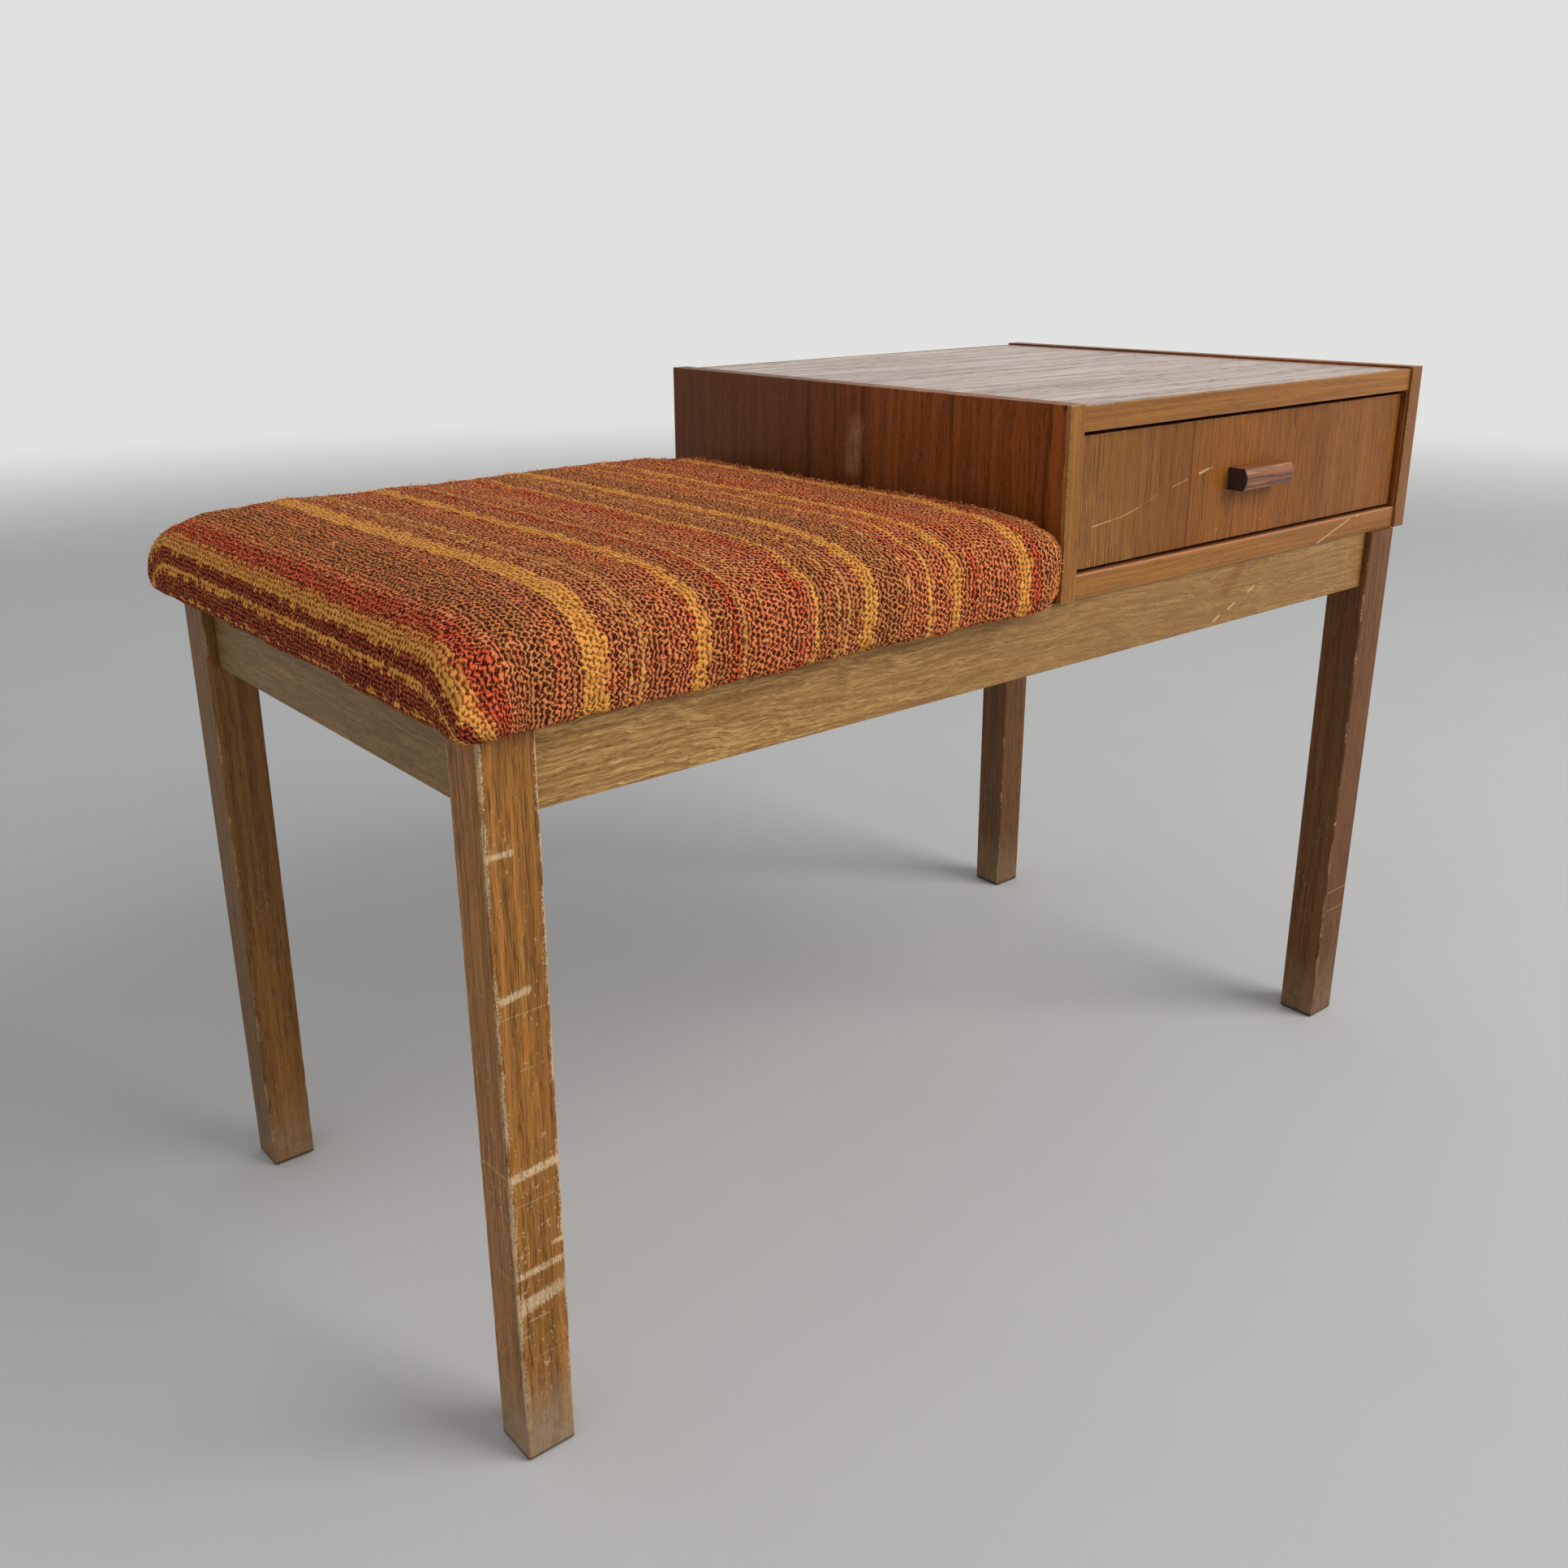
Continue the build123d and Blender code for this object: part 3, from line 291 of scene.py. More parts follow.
class Finish(Nodes):
    """A material under construction, with one Principled shader."""

    def __init__(self, name, specular=0.5, **shader):
        self.material = bpy.data.materials.new(name)
        self.material.use_nodes = True
        super().__init__(self.material.node_tree)
        self.shader = {"Specular IOR Level": specular, **shader}

    def surface(self, colour, roughness=0.5, height=None, depth=0.2 * MM, strength=1.0, coat=None):
        """The shader with its colour, roughness, coat and height."""
        values = {**self.shader, "Base Color": colour, "Roughness": roughness}
        if coat is not None:
            values["Coat Weight"] = coat
        if height is not None:
            bump = {"Strength": strength, "Distance": depth, "Height": height}
            values["Normal"] = self.node("ShaderNodeBump", {}, bump)
        return self.node("ShaderNodeBsdfPrincipled", {}, values)

    def shown(self, shader):
        """The material, once that shader is joined to its output."""
        self.node("ShaderNodeOutputMaterial", {}, {0: shader})
        return self.material

    def close(self, *look, **more):
        return self.shown(self.surface(*look, **more))


def dress(material, *names):
    """Gives CAD nodes their material."""
    for name in names:
        node = NODES[name]
        if not node.material_slots:
            node.data.materials.append(material)
        for holder in node.material_slots:
            holder.material = material


# ---- marks that wear leaves ----
FACE_DEPTH = 1.2  # millimetres under a face that still count as its surface


def stroke(finish, across, up, start, end, width, ragged=1.1):
    """A scratch or scuff between two points of a face, 1 on the stroke."""
    run, rise = end[0] - start[0], end[1] - start[1]
    squared = run * run + rise * rise
    share = finish.clamped(((across - start[0]) * run + (up - start[1]) * rise) / squared)
    side = across - start[0] - share * run
    over = up - start[1] - share * rise
    away = (side * side + over * over) ** 0.5
    grit = finish.noise((across * 1.5, up * 0.4, start[0]), 2.0, 0.6)
    reach = width * (0.5 - ragged / 2 + ragged * grit)
    return finish.smooth(away, reach, reach * 0.45)


def strokes(finish, across, up, marks):
    """The strongest of several strokes, each with its start, end, width and strength."""
    found = 0.0
    for start, end, width, strength in marks:
        found = finish.most(stroke(finish, across, up, start, end, width) * strength, found)
    streaky = finish.noise((across * 1.5, up * 0.35, 3.0), 3.0, 0.7)
    return found * finish.smooth(streaky, 0.34, 0.50)


def marked(finish, bare, across, up, level, face, marks):
    """The bare wood with the marks of one face added to it, on the surface that lies there."""
    if not marks:
        return bare
    return finish.most(bare, strokes(finish, across, up, marks) * (abs(level - face) < FACE_DEPTH))


def edge_gap(finish, place, low, high):
    """Distance to the nearest edge of a box, for a point on its surface."""
    gaps = [finish.least(p - a, b - p) for p, a, b in zip(place, low, high)]
    widest = finish.most(finish.most(gaps[0], gaps[1]), gaps[2])
    nearest = finish.least(finish.least(gaps[0], gaps[1]), gaps[2])
    return gaps[0] + gaps[1] + gaps[2] - widest - nearest


def rubbed(finish, place, gap, width, seed, low=0.38, high=0.68):
    """1 along an edge where the finish has rubbed off, in patches."""
    x, y, z = place
    patches = finish.noise((x * 0.03 + seed, y * 0.03, z * 0.03), 3.0, 0.65)
    grain = finish.noise((x * 1.1, y * 1.1, z * 0.7 + seed), 3.0, 0.7)
    reach = width * finish.smooth(patches, low, high) * finish.smooth(grain, 0.25, 0.75) * 2
    return finish.smooth(gap, reach + 0.05, reach * 0.4)


def worn_edges(finish, wood, name, width, seed, low=0.38, high=0.68):
    """1 along the edges of a board where its finish has rubbed off."""
    gap = edge_gap(finish, wood.place, *box_mm(name))
    return rubbed(finish, wood.place, gap, width, seed, low, high)


# ---- woods ----
SHIFT_ALONG, SHIFT_ACROSS, SHIFT_DEEP = 37.0, 11.0, 5.0  # millimetres that a seed moves a figure
ALONG_X, ALONG_Y, ALONG_Z = 0, 1, 2


class Wood:
    """The figure of one board: its fibre axis, the pitch of its lines and its own offset."""

    def __init__(self, finish, fibre, seed, line=2.6, wander=5.0, run=160.0, slope=0.0,
                 waves=0.006, ripple=0.0):
        self.finish = finish
        self.place = finish.place()
        axes = list(self.place)
        self.along = axes.pop(fibre) + seed * SHIFT_ALONG
        across, depth = axes[0] + seed * SHIFT_ACROSS, axes[1] + seed * SHIFT_DEEP
        slow = (across * 0.02, depth * 0.02, self.along * waves)
        bend = (finish.noise(slow, 1.0) - 0.5) * (2 * wander) + self.along * slope
        if ripple:
            quick = (across * 0.05, depth * 0.05, self.along * 0.035)
            bend = bend + (finish.noise(quick, 2.0) - 0.5) * (2 * ripple)
        self.ring = across + bend
        self.layer = depth + bend
        self.line = line
        self.run = run

    def lines(self, pitch, run, detail=3.0, rough=0.55):
        """Streaks along the fibre, 0 to 1."""
        where = (self.ring * (1 / pitch), self.layer * (1 / pitch), self.along * (1 / run))
        return self.finish.noise(where, detail, rough)

    def pores(self, pitch, run, share):
        """Short dark vessels along the fibre, 1 in a pore."""
        return self.finish.smooth(self.lines(pitch, run, 1.0), share, share - 0.09)


def figure(finish, wood, light, dark, deep, band=0.75, tonal=0.45, pore=(0.7, 9.0, 0.38),
           tint=0.75, fine=(0.45, 30.0, 0.5)):
    """Colour of lacquered wood, its pores and its dark late lines."""
    late = finish.smooth(wood.lines(wood.line, wood.run), 0.34, 0.66)
    slow = finish.smooth(wood.lines(wood.line * 8, wood.run * 3, 1.0), 0.3, 0.7)
    colour = finish.mix(late * band, light, dark)
    colour = finish.mix(slow * tonal, colour, dark)
    pitch, run, strength = fine
    colour = finish.mix((wood.lines(pitch, run, 1.0) - 0.35) * strength, colour, dark)
    pores = wood.pores(*pore) * (0.45 + 0.55 * late)
    return finish.mix(pores * tint, colour, deep), pores, late


LEAN = 2.0  # millimetres that an outer face draws in from the top of a leg to its foot
SOILED_TO, SOILED_FROM, SOIL_WAVE = 66.0, 10.0, 60.0  # heights of the grey foot
# the dark line at the floor is painted contact shadow
CONTACT_SHADE = (4.0, 1.4)  # heights of the dark line at the floor


def leg_finish(name, woods, seed, front=(), side=(), shaded_leg_tone=None):
    """A leg: dark pores down its length, pale worn arrises, scuffs and a grey worn foot."""
    finish = Finish(name + "_oak", 0.22)
    wood = Wood(finish, ALONG_Z, seed, line=3.0, wander=2.5, run=200.0)
    # a leg given its own darker tone takes it in place of leg_light: painted shade, for the legs
    # that stand in the shade of the seat and the cabinet; its marks, specks and grey foot are toned
    # down with it
    dark = woods.leg_dark if shaded_leg_tone is None else [c * 0.5 for c in shaded_leg_tone]
    colour, pores = figure(finish, wood, shaded_leg_tone or woods.leg_light, dark, woods.leg_pore,
                           pore=(0.42, 16.0, 0.48), tint=0.75, fine=(0.6, 40.0, 1.1))[:2]
    x, y, z = wood.place
    low, high = box_mm(name)
    lean = (1 - z / high[2]) * LEAN
    left = low[0] + lean if low[0] < 0 else low[0]
    right = high[0] if low[0] < 0 else high[0] - lean
    near = low[1] + lean if low[1] < 0 else low[1]
    far = high[1] if low[1] < 0 else high[1] - lean
    gap = finish.most(finish.least(x - left, right - x), finish.least(y - near, far - y))
    worn, start = (2.6, 0.32) if front and not shaded_leg_tone else (1.7, 0.40)
    bare = rubbed(finish, wood.place, gap, worn, seed, start, start + 0.26)
    bare = bare * (0.5 if shaded_leg_tone else 0.85)
    bare = marked(finish, bare, x, z, y, near, front)
    bare = marked(finish, bare, y, z, x, left if low[0] < 0 else right, side)
    specks = finish.noise((x * 0.5 + seed, y * 0.5, z * 0.26), 2.0, 0.6)
    cluster = finish.noise((x * 0.04 + seed, y * 0.04, z * 0.02), 2.0)
    specks = specks + (cluster - 0.5) * 0.26 - finish.smooth(z, 200.0, 330.0) * 0.03
    specks = finish.smooth(specks, 0.645, 0.695) * (0.15 if shaded_leg_tone else 0.6)
    bare = finish.most(bare, specks)
    colour = finish.mix(bare * (0.95 - pores * 0.6), colour, woods.scuff)
    dim = finish.noise((x * 0.05, y * 0.05, z * 0.02 + seed), 3.0, 0.6)
    colour = finish.mix(finish.smooth(dim, 0.35, 0.75) * 0.3, colour, woods.leg_dark)
    soil = finish.noise((x * 0.16, y * 0.16, z * 0.1), 4.0, 0.65)
    foot = finish.smooth(z + (soil - 0.5) * SOIL_WAVE, SOILED_TO, SOILED_FROM)
    foot = foot * (0.4 if shaded_leg_tone else 1.0)
    colour = finish.mix(foot * (0.5 + 0.5 * finish.smooth(soil, 0.38, 0.6)), colour, woods.foot)
    # painted contact shadow: the lowest few millimetres of the leg are darkened where it stands on
    # the floor
    colour = finish.mix(finish.smooth(z, *CONTACT_SHADE) * 0.85, colour, woods.contact_shade)
    rough = 0.42 + 0.22 * bare + 0.2 * foot
    return finish.close(colour, rough, 1 - pores * 0.8 - bare * 0.35, 0.2 * MM, 0.8)


def rail_finish(name, woods, fibre, seed, marks=(), slope=0.0, light=None):
    """A rail: lighter oak with short wavy lines that rise along its length."""
    finish = Finish(name + "_oak", 0.2)
    wood = Wood(finish, fibre, seed, line=2.1, wander=7.0, run=60.0, slope=slope, waves=0.010,
                ripple=3.0)
    # a rail given its own light colour takes a darker wood colour: painted shadow, for the end rail
    # in the shadow of the seat pad
    dark = woods.rail_dark if light is None else [c * 0.5 for c in light]
    colour, pores, late = figure(finish, wood, light or woods.rail_light, dark, woods.rail_pore,
                                 band=1.0, tonal=0.4, pore=(0.6, 5.0, 0.45), tint=0.6,
                                 fine=(0.6, 12.0, 2.6))
    x, y, z = wood.place
    bare = worn_edges(finish, wood, name, 0.7, seed) * 0.5
    bare = marked(finish, bare, x, z, y, box_mm(name)[0][1], marks)
    if name == "front_rail":
        colour = finish.mix(finish.smooth(x, -300.0, 60.0) * 0.52, colour, tone(140, 101, 56))
        blot = stroke(finish, x, z, (206.0, 412.0), (190.0, 398.0), 15.0, 0.9)
        colour = finish.mix(blot * 0.5, colour, woods.leg_dark)
    colour = finish.mix(bare, colour, woods.bare)
    height = 1 - pores * 0.7 - bare * 0.3 - late * 0.3
    return finish.close(colour, 0.46 + 0.2 * bare, height, 0.15 * MM, 0.7)


def beech_finish(name, woods, fibre, seed):
    """Unlacquered wood of an inner part."""
    finish = Finish(name, 0.3)
    wood = Wood(finish, fibre, seed, line=3.0, wander=4.0, run=140.0)
    colour, pores, late = figure(finish, wood, woods.beech_light, woods.beech_dark,
                                 woods.rail_dark, band=0.6, tonal=0.4, pore=(0.6, 5.0, 0.33),
                                 tint=0.35)
    return finish.close(colour, 0.55 + 0.08 * late, 1 - pores, 0.06 * MM, 0.6)


def lipping_finish(name, woods, fibre, seed, marks=(), light=None):
    """A solid lipping: straight lines along it, and pale worn edges."""
    finish = Finish(name + "_wood", 0.25)
    wood = Wood(finish, fibre, seed, line=2.0, wander=1.5, run=120.0)
    colour, pores = figure(finish, wood, light or woods.lipping_light, woods.lipping_dark,
                           woods.veneer_pore, band=0.7, tonal=0.5, pore=(0.6, 7.0, 0.44),
                           tint=0.38)[:2]
    bare = worn_edges(finish, wood, name, 0.7, seed, 0.3, 0.6) * 0.38
    x, y, z = wood.place
    low, high = box_mm(name)
    bare = marked(finish, bare, x, z, y, low[1], marks)
    colour = finish.mix(bare, colour, woods.bare)
    # on the scuffed floor lipping, a salmon line along the top arris: partly wear, partly painted
    # highlight
    if marks:
        arris = finish.smooth(z, high[2] - 1.6, high[2] - 0.6)
        colour = finish.mix(arris * 0.55, colour, tone(206, 138, 100))
    return finish.close(colour, 0.40 + 0.2 * bare, 1 - pores * 0.6 - bare * 0.3, 0.1 * MM, 0.7)


def veneer_base(finish, wood, woods, light, dark, band, fine, pore):
    """Colour of a veneer, its pores and its dark late lines."""
    return figure(finish, wood, light, dark, woods.veneer_pore, band=band, tonal=0.25,
                  pore=pore, tint=0.7, fine=(0.4, 40.0, fine))


def streak(finish, across, up, centre, width, strength):
    """A dark band that follows the fibre at a place across a panel."""
    sway = (finish.noise((across * 0.02 + centre, up * 0.03, 0.0), 2.0) - 0.5) * 9.0
    grit = finish.noise((across * 0.8, up * 0.05, centre), 2.0)
    return finish.smooth(abs(across + sway - centre), width, width * 0.1) * strength * (0.5 + grit)


def panel_finish(name, woods, seed, streaks=()):
    """A side panel: veneer with upright grain, dark heart streaks and a rubbed patch."""
    finish = Finish(name + "_veneer", 0.12)
    wood = Wood(finish, ALONG_Z, seed, line=5.0, wander=7.0, run=220.0, waves=0.012)
    y, z = wood.place[1:]
    light = finish.mix(finish.smooth(y, 80.0, -80.0), tone(128, 78, 38), tone(178, 97, 35))
    colour, pores = veneer_base(finish, wood, woods, light, tone(98, 46, 14), 0.5, 1.2,
                                (0.5, 10.0, 0.45))[:2]
    dark = 0.0
    for centre, width, strength in streaks:
        dark = finish.most(streak(finish, y, z, centre, width, strength), dark)
    colour = finish.mix(dark, colour, woods.veneer_pore)
    bare = worn_edges(finish, wood, name, 0.6, seed, 0.45, 0.7) * 0.5
    if name == "cabinet_left_panel":
        fine = finish.noise((y * 0.6, z * 0.08, 4.0), 3.0, 0.6)
        rub = stroke(finish, y, z, (-2.0, 484.0), (-5.0, 510.0), 22.0, 0.9) * 0.26
        line = stroke(finish, y, z, (-6.0, 488.0), (-6.0, 506.0), 5.0, 0.9) * 0.42
        bare = finish.most(bare, finish.most(rub, line) * finish.smooth(fine, 0.25, 0.6))
        worn = stroke(finish, y, z, (-193.0, 537.5), (-189.0, 536.0), 5.0, 0.9)
        colour = finish.mix(worn * 0.7, colour, woods.veneer_pore)
    colour = finish.mix(bare, colour, woods.bare)
    return finish.close(colour, 0.42 + 0.2 * bare, 1 - pores * 0.8 - bare * 0.2, 0.1 * MM, 0.7)


def top_finish(name, woods, seed, light):
    """A cabinet board: varnished veneer with its grain along the cabinet."""
    finish = Finish(name + "_veneer", 0.6, **{"Coat Roughness": 0.2})
    wood = Wood(finish, ALONG_X, seed, line=8.0, wander=9.0, run=200.0, waves=0.005)
    colour, pores, late = veneer_base(finish, wood, woods, light, woods.veneer_dark, 0.6, 0.9,
                                      (0.8, 14.0, 0.45))
    x, y = wood.place[:2]
    soil = finish.noise((x * 0.02, y * 0.02, seed), 4.0, 0.6)
    rough = 0.24 + 0.14 * soil + 0.15 * pores + 0.06 * late
    coat = 0.78 - 0.6 * pores - 0.32 * late
    return finish.close(colour, rough, 1 - pores * 0.8, 0.05 * MM, 0.5, coat)


DRAWER_TONES = (
    (24.0, (156, 102, 46)), (90.0, (158, 103, 46)), (134.0, (144, 88, 34)),
    (148.0, (164, 99, 37)), (250.0, (164, 99, 39)), (272.0, (151, 89, 36)),
    (300.0, (149, 89, 38)), (318.0, (163, 103, 49)), (400.0, (161, 100, 46)),
)
SCRATCH = ((42.0, 460.5), (60.0, 462.5), (72.5, 463.8), (87.5, 467.5), (97.5, 470.8),
           (107.5, 473.8), (122.5, 477.0), (138.8, 480.5))
SCRATCH_STRENGTHS = (0.9, 0.5, 0.7, 0.1, 0.25, 0.0, 0.6)
DRAWER_NICKS = (
    ((151.0, 483.0), (160.0, 485.0), 2.2, 1.0), ((160.0, 485.0), (165.0, 485.5), 1.0, 0.6),
    ((175.0, 442.0), (175.5, 442.5), 1.2, 0.8), ((227.0, 443.0), (227.5, 443.5), 1.2, 0.8),
)


def drawer_front_finish(name, woods, seed):
    """The drawer front: fine upright grain in several tones, with a long scratch."""
    finish = Finish(name + "_veneer", 0.14)
    wood = Wood(finish, ALONG_Z, seed, line=2.2, wander=1.2, run=260.0)
    x, y, z = wood.place
    sway = wood.ring - seed * SHIFT_ACROSS
    light = finish.ramp(sway, 0.0, 420.0, [(place, tone(*c)) for place, c in DRAWER_TONES])
    colour, pores = veneer_base(finish, wood, woods, light, tone(106, 62, 24), 0.5, 1.2,
                                (0.5, 18.0, 0.45))[:2]
    seam = finish.smooth(abs(sway - 141.0), 2.4, 0.4)
    colour = finish.mix(seam * 0.5, colour, woods.veneer_pore)
    pale = finish.smooth(wood.lines(0.8, 18.0, 1.0), 0.56, 0.70)
    pale = pale * finish.smooth(x + (z - 434) * 0.9, 130.0, 20.0)
    colour = finish.mix(pale * 0.45, colour, woods.bare)
    marks = [(a, b, 0.9, k) for a, b, k in zip(SCRATCH, SCRATCH[1:], SCRATCH_STRENGTHS)]
    marks += DRAWER_NICKS
    bare = worn_edges(finish, wood, name, 0.5, seed, 0.36, 0.62) * 0.5
    bare = marked(finish, bare, x, z, y, box_mm(name)[0][1], marks)
    colour = finish.mix(bare, colour, woods.bare)
    return finish.close(colour, 0.40 + 0.2 * bare, 1 - pores * 0.8 - bare * 0.4, 0.1 * MM, 0.7)


def handle_finish(name, woods):
    """The bar handle: polished, with its grain along it and dark ends: darker end grain with
    painted shade laid over it.
    """
    finish = Finish(name + "_wood", 0.5)
    wood = Wood(finish, ALONG_X, 3.0, line=2.0, wander=0.8, run=60.0)
    colour, pores = figure(finish, wood, woods.handle_light, woods.handle_dark,
                           woods.veneer_pore, band=0.95, pore=(0.7, 10.0, 0.46), tint=0.75,
                           fine=(0.5, 20.0, 1.6))[:2]
    low, high = box_mm(name)
    x = wood.place[0]
    # near-black ends: partly the end grain's own dark colour, partly painted shade on the end faces
    end = finish.smooth(finish.least(x - low[0], high[0] - x), 0.9, 0.2)
    colour = finish.mix(end * 0.95, colour, tone(34, 16, 10))
    return finish.close(colour, 0.34 + 0.25 * end, 1 - pores * 0.6, 0.08 * MM, 0.6)


def flake_finish(name, light, dark):
    """Chipboard: pressed flakes of several sizes."""
    finish = Finish(name, 0.25)
    x, y, z = finish.place()
    values = {"Vector": finish.vector(x * 0.35, y * 0.35, z * 0.8), "Scale": 1.0}
    cells = finish.node("ShaderNodeTexVoronoi", {"feature": "F1"}, values, "Color")
    pick = finish.parts(cells)[0]
    fine = finish.noise((x * 1.4, y * 1.4, z * 1.4), 2.0)
    colour = finish.mix(pick * 0.7 + fine * 0.3, light, dark)
    return finish.close(colour, 0.75 + 0.1 * fine, pick * 0.5 + fine * 0.5, 0.15 * MM, 0.6)


def hardboard_finish(name, colour):
    """Hardboard: a brown sheet with fine fibres."""
    finish = Finish(name, 0.3)
    x, y, z = finish.place()
    fibre = finish.noise((x * 0.9, y * 0.9, z * 0.9), 4.0, 0.7, 1.5)
    cloud = finish.noise((x * 0.03, y * 0.03, z * 0.03), 3.0)
    dark, pale = [c * 0.6 for c in colour], [min(1, c * 1.45) for c in colour]
    mixed = finish.mix(fibre * 0.6 + cloud * 0.4, dark, pale)
    return finish.close(mixed, 0.6 + 0.15 * fibre, fibre, 0.08 * MM, 0.6)


def steel_finish(name, colour):
    """Zinc-plated steel with fine turning lines and a little dulling."""
    finish = Finish(name, Metallic=1.0)
    x, y, z = finish.place()
    dull = finish.noise((x * 0.4, y * 0.4, z * 0.4), 3.0, 0.6)
    grey = finish.smooth(dull, 0.35, 0.75)
    shine = finish.mix(grey * 0.5, colour, [c * 0.45 for c in colour])
    turned = finish.noise((x * 2.2, y * 2.2, z * 6.0), 1.0)
    return finish.close(shine, 0.32 + 0.3 * dull, turned, 0.02 * MM, 0.5)


# ---- the woven cover: where each stripe starts across the cloth, in millimetres ----
STRIPES = (
    (-470.0, "maroon"), (-454.2, "gold"), (-451.2, "maroon"), (-436.5, "gold"), (-433.5, "maroon"),
    (-424.0, "gold"), (-414.5, "amber"), (-411.0, "red"), (-399.0, "rust"), (-390.0, "olive"),
    (-383.5, "rust"), (-380.5, "olive"), (-366.0, "rust"), (-358.0, "brown"), (-350.0, "gold"),
    (-335.0, "rust"), (-332.0, "brown"), (-325.0, "straw"), (-322.0, "brown"), (-316.5, "straw"),
    (-312.5, "brown"), (-300.0, "rust"), (-286.5, "red"), (-283.5, "gold"), (-274.5, "brown"),
    (-259.0, "red"), (-255.0, "brown"), (-252.5, "straw"), (-249.5, "rust"), (-239.0, "straw"),
    (-236.0, "rust"), (-217.0, "red"), (-213.0, "rust"), (-206.5, "gold"), (-201.5, "olive"),
    (-197.0, "brown"), (-190.5, "straw"), (-188.0, "brown"), (-183.5, "straw"), (-181.0, "brown"),
    (-171.5, "gold"), (-161.0, "olive"), (-139.0, "straw"), (-135.5, "rust"), (-122.5, "gold"),
    (-118.0, "rust"), (-104.5, "gold"), (-97.5, "rust"), (-87.0, "red"), (-83.0, "rust"),
    (-50.0, "gold"), (-37.5, "red"), (-29.0, "brown"), (-17.0, "amber"), (-13.0, "olive"),
)
CLOTH_START, CLOTH_END = -480.0, 20.0


def stripe_colour(finish, across, yarns):
    """The yarn colour at a place across the cloth. A ramp holds half of the stripes."""
    half = len(STRIPES) // 2
    middle = STRIPES[half][0]
    halves = ((CLOTH_START, middle, STRIPES[:half]), (middle, CLOTH_END, STRIPES[half:]))
    bands = []
    for low, high, part in halves:
        stops = [(place, getattr(yarns, name)) for place, name in part]
        bands.append(finish.ramp(across, low, high, stops, "CONSTANT"))
    return finish.mix(across > middle, *bands)


def woven_place(finish):
    """The two places on the flat cloth, in millimetres."""
    woven = finish.node("ShaderNodeAttribute", {"attribute_name": "weave"}, {}, "Vector")
    return finish.parts(woven)[:2]


def cover_finish(yarns):
    """The woven cover: curly striped yarn laced over a dark ground, with painted highlights on the
    crests and painted shade between the knots.
    """
    finish = Finish("woven_cover", 0.05)
    u, v = woven_place(finish)
    # yarns lie side by side across the cloth, knots follow each other down a yarn
    pull, slide = finish.two_noises((u * 0.09, v * 0.09, 2.0), 2.0, 0.6)
    curl_u, curl_v = finish.two_noises((u * 0.42, v * 0.42, 7.0), 1.0, 0.5)
    pitch, knot = yarns.pitch / MM, yarns.knot / MM
    across = (u + (pull - 0.5) * 5.0 + (curl_u - 0.5) * 2.8) / pitch
    yarn = finish.floor(across)
    luck = finish.chance(yarn, 0.0, 3.0)
    down = (v + (slide - 0.5) * 6.0 + (curl_v - 0.5) * 3.0) / knot + luck * 7.0
    bead = finish.floor(down)
    pick = finish.chance(yarn, bead, 1.0)
    other = finish.chance(yarn, bead, 8.0)
    side = across - yarn - 0.5
    rise = down - bead - 0.5
    centre = (yarn + 0.5) * pitch + (luck - 0.5) * 1.2 + (pick - 0.5) * 1.7
    stripe = stripe_colour(finish, centre, yarns)
    # gold yarns are thick and reds are deep: the stripe's green tells them apart
    green = finish.parts(stripe)[1]
    thick = finish.smooth(green, 0.2, 0.4)
    deep = finish.smooth(green, 0.15, 0.04)
    # a strand swings from side to side, a weft thread crosses it and loose loops lie on top
    wave = finish.maths("SINE", down * (2 * math.pi)) * (pick * 0.5 - 0.05)
    off = abs(side - wave)
    reach = (0.19 + 0.25 * finish.maths("COSINE", rise * math.pi)) * (1 + 0.35 * thick)
    strand = finish.smooth(off, reach, reach * 0.5)
    crest = finish.smooth(off, reach * 0.6, 0.05)
    weft_wave = finish.maths("SINE", across * (2 * math.pi) + luck * 4.0) * 0.2
    weft = finish.smooth(abs(rise - weft_wave), 0.2, 0.04)
    loop = finish.noise((u * 0.46, v * 0.42, 23.0), 1.0, 0.5)
    loop = finish.smooth(abs(loop - 0.5), 0.036, 0.012)
    height = finish.most(strand * 0.6 + crest * 0.4, weft * 0.5) + loop * 0.3
    # single yarns and knots of another colour, then painted highlights on the crests over a ground
    # darkened with painted shade
    kind = finish.chance(yarn, 5.0, 9.0)
    colour = finish.mix(finish.smooth(kind, 0.6, 1.0) * 0.3 * (1 - thick), stripe, yarns.brown)
    colour = finish.mix((pick > 0.88) * 0.45, colour, yarns.amber)
    colour = finish.mix((pick < 0.16) * 0.5 * (1 - thick * 0.5), colour, yarns.maroon)
    colour = finish.mix((other > 0.88) * 0.35 * (1 - thick), colour, yarns.olive)
    # painted highlight for the crest of a strand, and below it a darker copy of the yarn for its
    # sides: lit and shaded copies of one yarn
    painted_highlight = finish.mix(0.5 - 0.25 * thick - 0.32 * deep, colour, yarns.peach)
    dim = finish.mix(0.3 - 0.15 * thick, colour, yarns.maroon)
    # painted shade between the strands and on the weft that crosses under them
    ground = finish.mix(0.03 + 0.15 * thick, yarns.gap, stripe)
    cross = finish.mix(0.7, dim, yarns.gap)
    under = finish.mix(weft * 0.85, ground, cross)
    colour = finish.mix(crest * (0.5 + 0.5 * other), dim, painted_highlight)
    colour = finish.mix(strand * (0.8 + 0.4 * pick), under, colour)
    # the loose loops take the painted highlight too
    colour = finish.mix(loop * (0.15 + 0.6 * strand), colour, painted_highlight)
    return finish.close(colour, 0.95, height, 1.5 * MM, 0.6)


